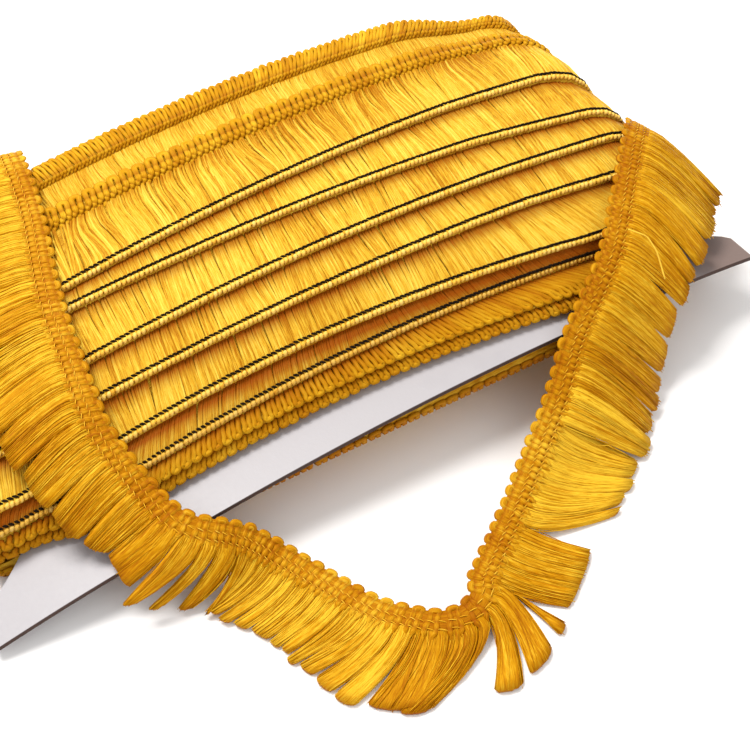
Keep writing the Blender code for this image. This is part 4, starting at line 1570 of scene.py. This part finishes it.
@dataclass
class LooseLength:
    """The trim's loose length: looped heading, backing and cut fringe in locks."""

    heading_width: float = 7.6
    loop_pitch: float = 4.3
    lock_thickness: tuple[float, float] = (1.8, 1.3)
    lock_bend: float = 0.28
    lock_gather: float = 0.15
    corner_round: float = 0.03
    lying_fall: float = 0.6
    length_spread: float = 1.3
    narrow_gather: float = 0.24
    broad_groups: tuple[int, ...] = (3, 4, 5)
    narrow_groups: tuple[int, ...] = (2, 2, 3)
    narrow_from: float = 17.0
    narrow_to: float = 22.4
    heading_tone: float = 0.68
    # Painted shade laid evenly over the loose heading and its stitches.
    heading_painted_shade: float = 0.10
    heading_tilt: float = 0.35
    heading_fall_tilt: float = 0.3
    samples: int = 40
    backing_past_roots: float = 2.6
    backing_sag: float = 0.25
    backing_steps: int = 430
    backing_tone: float = 0.3
    backing_shade: float = 0.3
    backing_lift: tuple[float, ...] = (-0.22, 0.22, 0.32, 0.32, -0.35, -0.85, -0.42, -0.32)
    columns_per_lock: int = 5
    body_steps: int = 12
    groove: float = 0.12
    swell: float = 0.25
    swell_run: float = 1.6
    face_share: float = 0.42
    under_share: float = 0.40
    under_shade: float = 0.25
    rim_shade: float = 0.35
    tip_shade: float = 0.6
    root_overlap: float = 0.9
    upper_share: float = 0.85
    yarns_per_lock: int = 8
    yarn_radius: float = 0.15
    yarn_steps: int = 8
    yarn_lift: float = 0.08
    yarn_stray: float = 0.10
    yarn_fade: float = 0.14
    stray_steps: int = 26
    stray_radius: float = 0.26
    seed: int = 11

    def _smooth(self, places: np.ndarray) -> np.ndarray:
        """The route's columns read on a curve that passes through every stop.

        Args:
            places: places on the route, in stops.

        Returns:
            A row of columns for each place.
        """
        table = np.array(LOOSE_ROUTE)
        last = len(table) - 1
        k = np.minimum(places.astype(int), last - 1)
        t = (places - k)[:, None]
        before, start = table[np.maximum(k - 1, 0)], table[k]
        end, after = table[k + 1], table[np.minimum(k + 2, last)]
        return 0.5 * (
            2 * start
            + (end - before) * t
            + (2 * before - 5 * start + 4 * end - after) * t * t
            + (3 * start - before - 3 * end + after) * t * t * t
        )

    def _layout(self) -> None:
        """Work out the stations, half a loop apart along the looped edge."""
        dense = np.arange(self.samples * (len(LOOSE_ROUTE) - 1) + 1) / self.samples
        edges = self._smooth(dense)[:, :3]
        way = travelled(edges)
        count = 2 * round(way[-1] / self.loop_pitch)
        wanted = way[-1] * np.arange(count + 1) / count
        self.places = np.interp(wanted, way, dense)
        rows = self._smooth(self.places)
        slanted = self.places + np.interp(self.places, SLANT_PLACES, SLANT_VALUES)
        self.edge, self.tip, self.fall = rows[:, :3], self._smooth(slanted)[:, 3:6], rows[:, 6]
        after = np.concatenate([self.edge[1:], self.edge[-1:]])
        before = np.concatenate([self.edge[:1], self.edge[:-1]])
        travel = unit(after - before)
        start = self.tip - self.edge
        start[:, 2] *= self.heading_tilt + self.heading_fall_tilt * self.fall
        self.normal = unit(np.cross(travel, start))
        self.inward = unit(np.cross(self.normal, travel))
        self.travelled = wanted

    def _lock_tips(self) -> tuple[np.ndarray, np.ndarray, list[int]]:
        """Gather the locks' tips into clumps.

        Returns:
            Tip centres and half widths of the locks, and the clump that each belongs to.
        """
        rng = random.Random(self.seed)
        last = len(self.edge) - 1
        centres = (self.tip[1:] + self.tip[:-1]) / 2
        spans = self.tip[1:] - self.tip[:-1]
        made, half = centres.copy(), spans / 2
        clump = [0] * last
        k = 0
        while k < last:
            narrow = self.narrow_from < self.places[k] < self.narrow_to
            size = rng.choice(self.narrow_groups if narrow else self.broad_groups)
            group = list(range(k, min(k + size, last)))
            middle = centres[group].mean(axis=0)
            stretch = rng.uniform(-1.0, 1.0) * self.length_spread
            gather = self.narrow_gather if narrow else self.lock_gather
            gather *= 0.4 + 1.2 * abs(stretch) / self.length_spread
            for j in group:
                away = unit(centres[j] - self.edge[j])
                made[j] = centres[j] + (middle - centres[j]) * gather
                made[j, :2] += away[:2] * stretch
                made[j, 2] = max(centres[j, 2], self.lock_thickness[1] / 2)
                half[j] *= 1.0 - gather
                clump[j] = k
            k += size
        for number, tuft in enumerate(TUFTS):
            members = [k for k in range(last) if tuft.start <= self.places[k] < tuft.end]
            first = np.array([tuft.from_x, tuft.from_y, tuft.z])
            span = np.array([tuft.to_x - tuft.from_x, tuft.to_y - tuft.from_y, 0.0]) / len(members)
            for order, k in enumerate(members):
                made[k], half[k] = first + span * (order + 0.5), span / 2
                clump[k] = last + number
        return made, half, clump

    def _ground(self) -> Ground:
        """The heading's surface."""
        return Ground(self.edge, self.inward, self.normal, self.travelled, self.heading_width)

    def _backing(self) -> bpy.types.Object:
        """Write the stitched ground that holds the heading and the roots of the fringe.

        Returns:
            The backing.
        """
        ground = self._ground()
        root = ground.broad + self.backing_past_roots
        along = np.linspace(0.0, ground.length, self.backing_steps)
        across = np.array([0.9, 0.9, 3.0, 5.5, root, root, 5.5, 3.0])
        share = 1.0 - across / ground.broad
        height = np.clip(self.edge[:, 2] - self.tip[:, 2], 0.0, 9.0) * self.fall
        sagging = self.backing_sag * np.array([0, 0, 0, 0, 1, 1, 0, 0])
        sag = np.interp(along, self.travelled, height)[:, None] * sagging
        lift = np.array(self.backing_lift)[None, :] - sag
        points = ground.place(along[:, None], share[None, :], lift)
        points[..., 2] = np.maximum(points[..., 2], 0.1)
        backing = Strands("loose_backing")
        # Painted shade: the backing lies under the heading's yarns and the roots of the fringe.
        backing.grid(points[None], self.backing_tone, self.backing_shade, closed=True)
        return backing.build(LOOSE_YARN, "loose_yarn")

    def _sweep(self, clump: Clump, a: np.ndarray, t: np.ndarray) -> np.ndarray:
        """Points of a clump's middle surface.

        Args:
            clump: the locks and their tips.
            a: places across, 0 and 1 at its sides, as (strand, step).
            t: places along, 0 at the root and 1 at the tip, as (strand, step).

        Returns:
            Positions as (strand, step, 3).
        """
        station = clump.first + np.clip(a, 0.0, 1.0) * clump.size
        number = np.arange(len(self.edge))
        inward = unit(read(station, number, self.inward))
        start = read(station, number, self.edge) + inward * (self.heading_width - self.root_overlap)
        beyond = (a - np.clip(a, 0.0, 1.0)) * clump.size
        start = start + read(station, number, np.gradient(self.edge, axis=0)) * beyond[..., None]
        tip = read(a, clump.across, clump.tips)
        fall = np.interp(station, number, self.fall)
        reach = np.linalg.norm(tip - start, axis=-1)
        bend = start + inward * (reach * self.lock_bend)[..., None]
        low = start[..., 2] + (tip[..., 2] - start[..., 2]) * fall
        bend[..., 2] = np.where(fall > self.lying_fall, low, bend[..., 2])
        u = t[..., None]
        return start * (1 - u) ** 2 + bend * (2 * u * (1 - u)) + tip * u ** 2

    def _upward(self, clump: Clump, a: np.ndarray, t: np.ndarray) -> np.ndarray:
        """Upward directions of a clump's middle surface.

        Args:
            clump: the locks and their tips.
            a: places across, as (strand, step).
            t: places along, as (strand, step).

        Returns:
            Directions of length one.
        """
        across = self._sweep(clump, a + 0.05, t) - self._sweep(clump, a - 0.05, t)
        along = self._sweep(clump, a, t + 0.02) - self._sweep(clump, a, t - 0.02)
        found = unit(np.cross(across, along))
        middle = self.normal[clump.first + clump.size // 2]
        return found * (1.0 if np.mean(found @ middle) > 0 else -1.0)

    def _thickness(self, t: np.ndarray) -> np.ndarray:
        """Thickness of a clump, thin where it leaves the heading."""
        full = self.lock_thickness[0] + (self.lock_thickness[1] - self.lock_thickness[0]) * t
        return full * (0.25 + 0.75 * np.clip(t / 0.25, 0.0, 1.0))

    @staticmethod
    def _crown(clump: Clump, a: np.ndarray) -> np.ndarray:
        """How far a clump's rounded section stands at places across it, 0 to 1."""
        side = np.clip(np.abs(2 * a - 1.0), 0, 1)
        return np.sqrt(np.clip(1.0 - side ** (2.0 + 2.0 * clump.size), 0.0, 1.0))

    def _shortened(self, a: np.ndarray) -> np.ndarray:
        """The length left at places across a clump with rounded corners."""
        return 1.0 - self.corner_round * np.abs(2 * a - 1.0) ** 4

    def _body(self, clump: Clump, rng: np.random.Generator, sheaf: Strands, tone: float) -> None:
        """Lay the grooved body of one clump.

        Args:
            clump: the locks and their tips.
            rng: the source of the small differences.
            sheaf: the piece that takes it.
            tone: the clump's lightness.
        """
        columns = clump.size * self.columns_per_lock + 1
        top = np.linspace(-0.02, 1.02, columns)
        a = np.concatenate([top, top[-2:0:-2]])
        t = np.concatenate([np.linspace(0.0, 1.0, self.body_steps), [1.0]])
        across, along = np.broadcast_arrays(a[None, :], t[:, None])
        wave = 0.012 * np.sin(along * rng.uniform(2.5, 5.0) + across * 9.0 + rng.uniform(0, 6))
        along = along * self._shortened(across)
        points = self._sweep(clump, across + wave * along, along)
        up = self._upward(clump, across, along)
        thick = self._thickness(along)
        crown = self._crown(clump, top)
        groove = self.groove * rng.normal(0.0, 1.0, columns)
        places = top * clump.size * self.loop_pitch / 2 + 50
        swell = self.swell * drift(places, self.swell_run, rng) * t[:, None] * crown
        height = crown * self.face_share * thick[:, :columns] + groove * crown + swell
        under = -self.under_share * thick[:, columns:]
        lift = np.concatenate([height, under], axis=1)
        lift[-1] = 0.0
        points = points + up * lift[..., None]
        points[..., 2] = np.maximum(points[..., 2], 0.05)
        # Painted shade on the underside, in the hollows between swells, on the last ring and on the
        # cut end.
        shade = np.zeros_like(lift)
        shade[:, columns:] = self.under_shade
        shade[:, :columns] = 0.5 * np.clip(-swell, 0, 1)
        shade[-2] += self.rim_shade
        shade[-1] = self.tip_shade
        fade = tone + 0.08 * (1 - along) - 0.10 * along + rng.normal(0, 0.07, len(a))
        sheaf.grid(points[None], np.clip(fade, 0, 1)[None], shade[None], closed=True)

    def _loose_yarns(
        self, clump: Clump, rng: np.random.Generator, sheaf: Strands, tone: float
    ) -> None:
        """Lay single yarns on one clump, the outer ones a little astray.

        Args:
            clump: the locks and their tips.
            rng: the source of the small differences.
            sheaf: the piece that takes them.
            tone: the clump's lightness.
        """
        count = self.yarns_per_lock * clump.size
        steps = self.yarn_steps
        a = np.linspace(-0.03, 1.03, count) + rng.normal(0, 0.03, count)
        reach = (1.0 + rng.normal(0.0, 0.009, count)) * self._shortened(a)
        t = np.linspace(0.02, 1.0, steps)[None, :] * reach[:, None]
        stray = self.yarn_stray / clump.size
        splay = rng.normal(0, stray, (count, 1)) * t ** 2
        wave = rng.normal(0, stray, (count, 1)) * np.sin(t * math.pi * 1.6)
        across = a[:, None] + splay + wave
        line = self._sweep(clump, across, t)
        up = self._upward(clump, across, t)
        lift = self.face_share * self._thickness(t) * self._crown(clump, across) + self.yarn_lift
        face = np.where(rng.random((count, 1)) < self.upper_share, 1.0, -1.0)
        line = line + up * (face * lift)[..., None]
        line[..., 2] = np.maximum(line[..., 2], self.yarn_radius)
        taper = np.concatenate([np.ones(steps - 1), [0.6]])[None, :]
        girth = self.yarn_radius * taper * (1.0 + rng.uniform(-0.2, 0.3, (count, 1)))
        points = rings_along(line, up, girth, girth, SQUARE)
        own = np.clip(tone + rng.normal(0.03, 0.15, (count, 1)) - self.yarn_fade * t, 0, 1)
        sheaf.grid(points, own[..., None], 0.0, closed=True, capped=True)

    def _fringe(self) -> tuple[Strands, Strands]:
        """Lay the cut fringe.

        Returns:
            The clumps' bodies, and the yarns that lie on them.
        """
        tips, halves, owner = self._lock_tips()
        rng = np.random.default_rng(self.seed)
        bodies, yarns = Strands("loose_fringe_locks"), Strands("loose_fringe_yarns")
        first = 0
        while first < len(tips):
            size = 1
            while first + size < len(tips) and owner[first + size] == owner[first]:
                size += 1
            last = first + size - 1
            line = [tips[first] - halves[first], *tips[first : last + 1], tips[last] + halves[last]]
            inner = (np.arange(size) + 0.5) / size
            clump = Clump(first, size, np.concatenate([[0.0], inner, [1.0]]), np.array(line))
            tone = float(np.interp(self.places[first], TONE_PLACES, TONE_VALUES))
            tone += float(rng.normal(0, 0.06))
            self._body(clump, rng, bodies, tone)
            self._loose_yarns(clump, rng, yarns, tone)
            first += size
        return bodies, yarns

    def build(self) -> list[bpy.types.Object]:
        """Returns:
            The pieces.
        """
        self._layout()
        backing = self._backing()
        heading, thread = Strands("loose_heading"), Strands("loose_heading_stitches")
        tones = self.heading_tone * np.interp(self.places, TONE_PLACES, TONE_VALUES)
        looping = Heading(
            self._ground(),
            self.heading_painted_shade,
            loop_pitch=self.loop_pitch,
            leg_spread=0.215,
            leg_width=0.98,
            leg_height=0.66,
            base_lift=0.0,
            chain_lines=(0.12, 0.44, 0.74),
            pinch=0.42,
            loop_reach=0.1,
            foot=-0.24,
            tones=(self.travelled, tones),
            seed=31,
        )
        looping.lay(heading)
        looping.stitches(thread)
        looped = heading.build(LOOSE_YARN, "loose_yarn", ["loose_length"])
        stitched = thread.build(STITCH_THREAD, "loose_yarn")
        first, second = self._fringe()
        cut = [first.build(LOOSE_YARN, "loose_yarn"), second.build(LOOSE_YARN, "loose_yarn")]
        stray = self._stray_thread()
        return [backing, looped, stitched, *cut, stray]

    def _stray_thread(self) -> bpy.types.Object:
        """Write one pale thread that has come loose from the heading and lies on the fringe.

        Returns:
            The thread.
        """
        t = np.linspace(0.0, len(STRAY_STOPS) - 1.0, self.stray_steps)
        path = read(t, np.arange(len(STRAY_STOPS)), np.array(STRAY_STOPS))
        for _ in range(3):
            path[1:-1] = (path[:-2] + path[1:-1] * 2 + path[2:]) / 4
        up = np.broadcast_to(np.array([0.0, -0.5, 0.85]), path.shape)
        thread = Strands("stray_thread")
        points = rings_along(path[None], up[None], self.stray_radius, self.stray_radius, SQUARE)
        thread.grid(points, 0.95, 0.0, closed=True, capped=True)
        return thread.build(STITCH_THREAD, "loose_yarn")


# The studio


@dataclass(frozen=True)
class StudioCamera:
    """The camera at the photograph's angle."""

    azimuth: float = -32.2
    elevation: float = 46.4
    distance: float = 490.0
    target: tuple[float, float, float] = (10.0, -41.0, 0.0)
    lens: float = 76.8
    sensor: float = 36.0
    near: float = 0.02
    far: float = 20.0

    def back(self) -> Vector:
        """Direction from the target to the camera."""
        a, e = math.radians(self.azimuth), math.radians(self.elevation)
        return Vector((math.sin(a) * math.cos(e), -math.cos(a) * math.cos(e), math.sin(e)))

    def build(self) -> None:
        """Place the camera."""
        data = bpy.data.cameras.new("camera")
        data.lens = self.lens
        data.sensor_width = self.sensor
        data.clip_start = self.near
        data.clip_end = self.far
        camera = bpy.data.objects.new("camera", data)
        camera.location = (Vector(self.target) + self.back() * self.distance) * MM
        camera.rotation_mode = "QUATERNION"
        camera.rotation_quaternion = (-self.back()).to_track_quat("-Z", "Y")
        bpy.context.scene.collection.objects.link(camera)
        bpy.context.scene.camera = camera


class LampPlan(NamedTuple):
    """One soft studio lamp, aimed at the object."""

    name: str
    x: float
    y: float
    z: float
    size: float
    power: float
    colour: tuple[float, float, float]


LAMPS = (
    LampPlan("key", -0.22, 0.42, 0.95, 0.50, 12.7, (1.0, 0.985, 0.96)),
    LampPlan("fill", 0.15, -0.95, 0.75, 0.9, 2.5, (1.0, 0.98, 0.96)),
)


@dataclass
class Studio:
    """Floor, lamps and surrounding light."""

    floor_size: float = 6.0
    floor_drop: float = 0.0002
    aim: tuple[float, float, float] = (0.0, -0.03, 0.02)
    surround: float = 0.75
    surround_tint: Colour = (1.0, 0.995, 0.99, 1.0)

    def _floor(self) -> None:
        """Write the floor just under the part."""
        mesh = bpy.data.meshes.new("studio_floor")
        half = self.floor_size / 2
        corners = [(-half, -half), (half, -half), (half, half), (-half, half)]
        mesh.from_pydata([(x, y, -self.floor_drop) for x, y in corners], [], [(0, 1, 2, 3)])
        mesh.materials.append(FloorFinish().material())
        floor = bpy.data.objects.new("studio_floor", mesh)
        bpy.context.scene.collection.objects.link(floor)

    def _lamp(self, plan: LampPlan) -> None:
        """Hang one lamp."""
        data = bpy.data.lights.new(plan.name, "AREA")
        data.size = plan.size
        data.energy = plan.power
        data.color = plan.colour
        lamp = bpy.data.objects.new(plan.name, data)
        lamp.location = (plan.x, plan.y, plan.z)
        lamp.rotation_mode = "QUATERNION"
        lamp.rotation_quaternion = (Vector(self.aim) - lamp.location).to_track_quat("-Z", "Y")
        bpy.context.scene.collection.objects.link(lamp)

    def build(self) -> None:
        """Write the floor, the lamps and the surround."""
        scene = bpy.context.scene
        scene.view_settings.view_transform = "Standard"
        self._floor()
        for plan in LAMPS:
            self._lamp(plan)
        world = bpy.data.worlds.new("surround")
        world.use_nodes = True
        backdrop = world.node_tree.nodes["Background"]
        backdrop.inputs["Color"].default_value = self.surround_tint
        backdrop.inputs["Strength"].default_value = self.surround
        scene.world = world


def main() -> None:
    """Build the camera, the studio and the part's pieces in order."""
    logging.basicConfig(level=logging.INFO, format="%(name)s %(message)s")
    StudioCamera().build()
    Studio().build()
    card = WindingCard()
    made = [card.build()]
    made += Winding(WindingForm(card)).build()
    made += LooseLength().build()
    for piece in made:
        LOG.info("piece %s", piece.name)


if __name__ == "__main__":
    main()
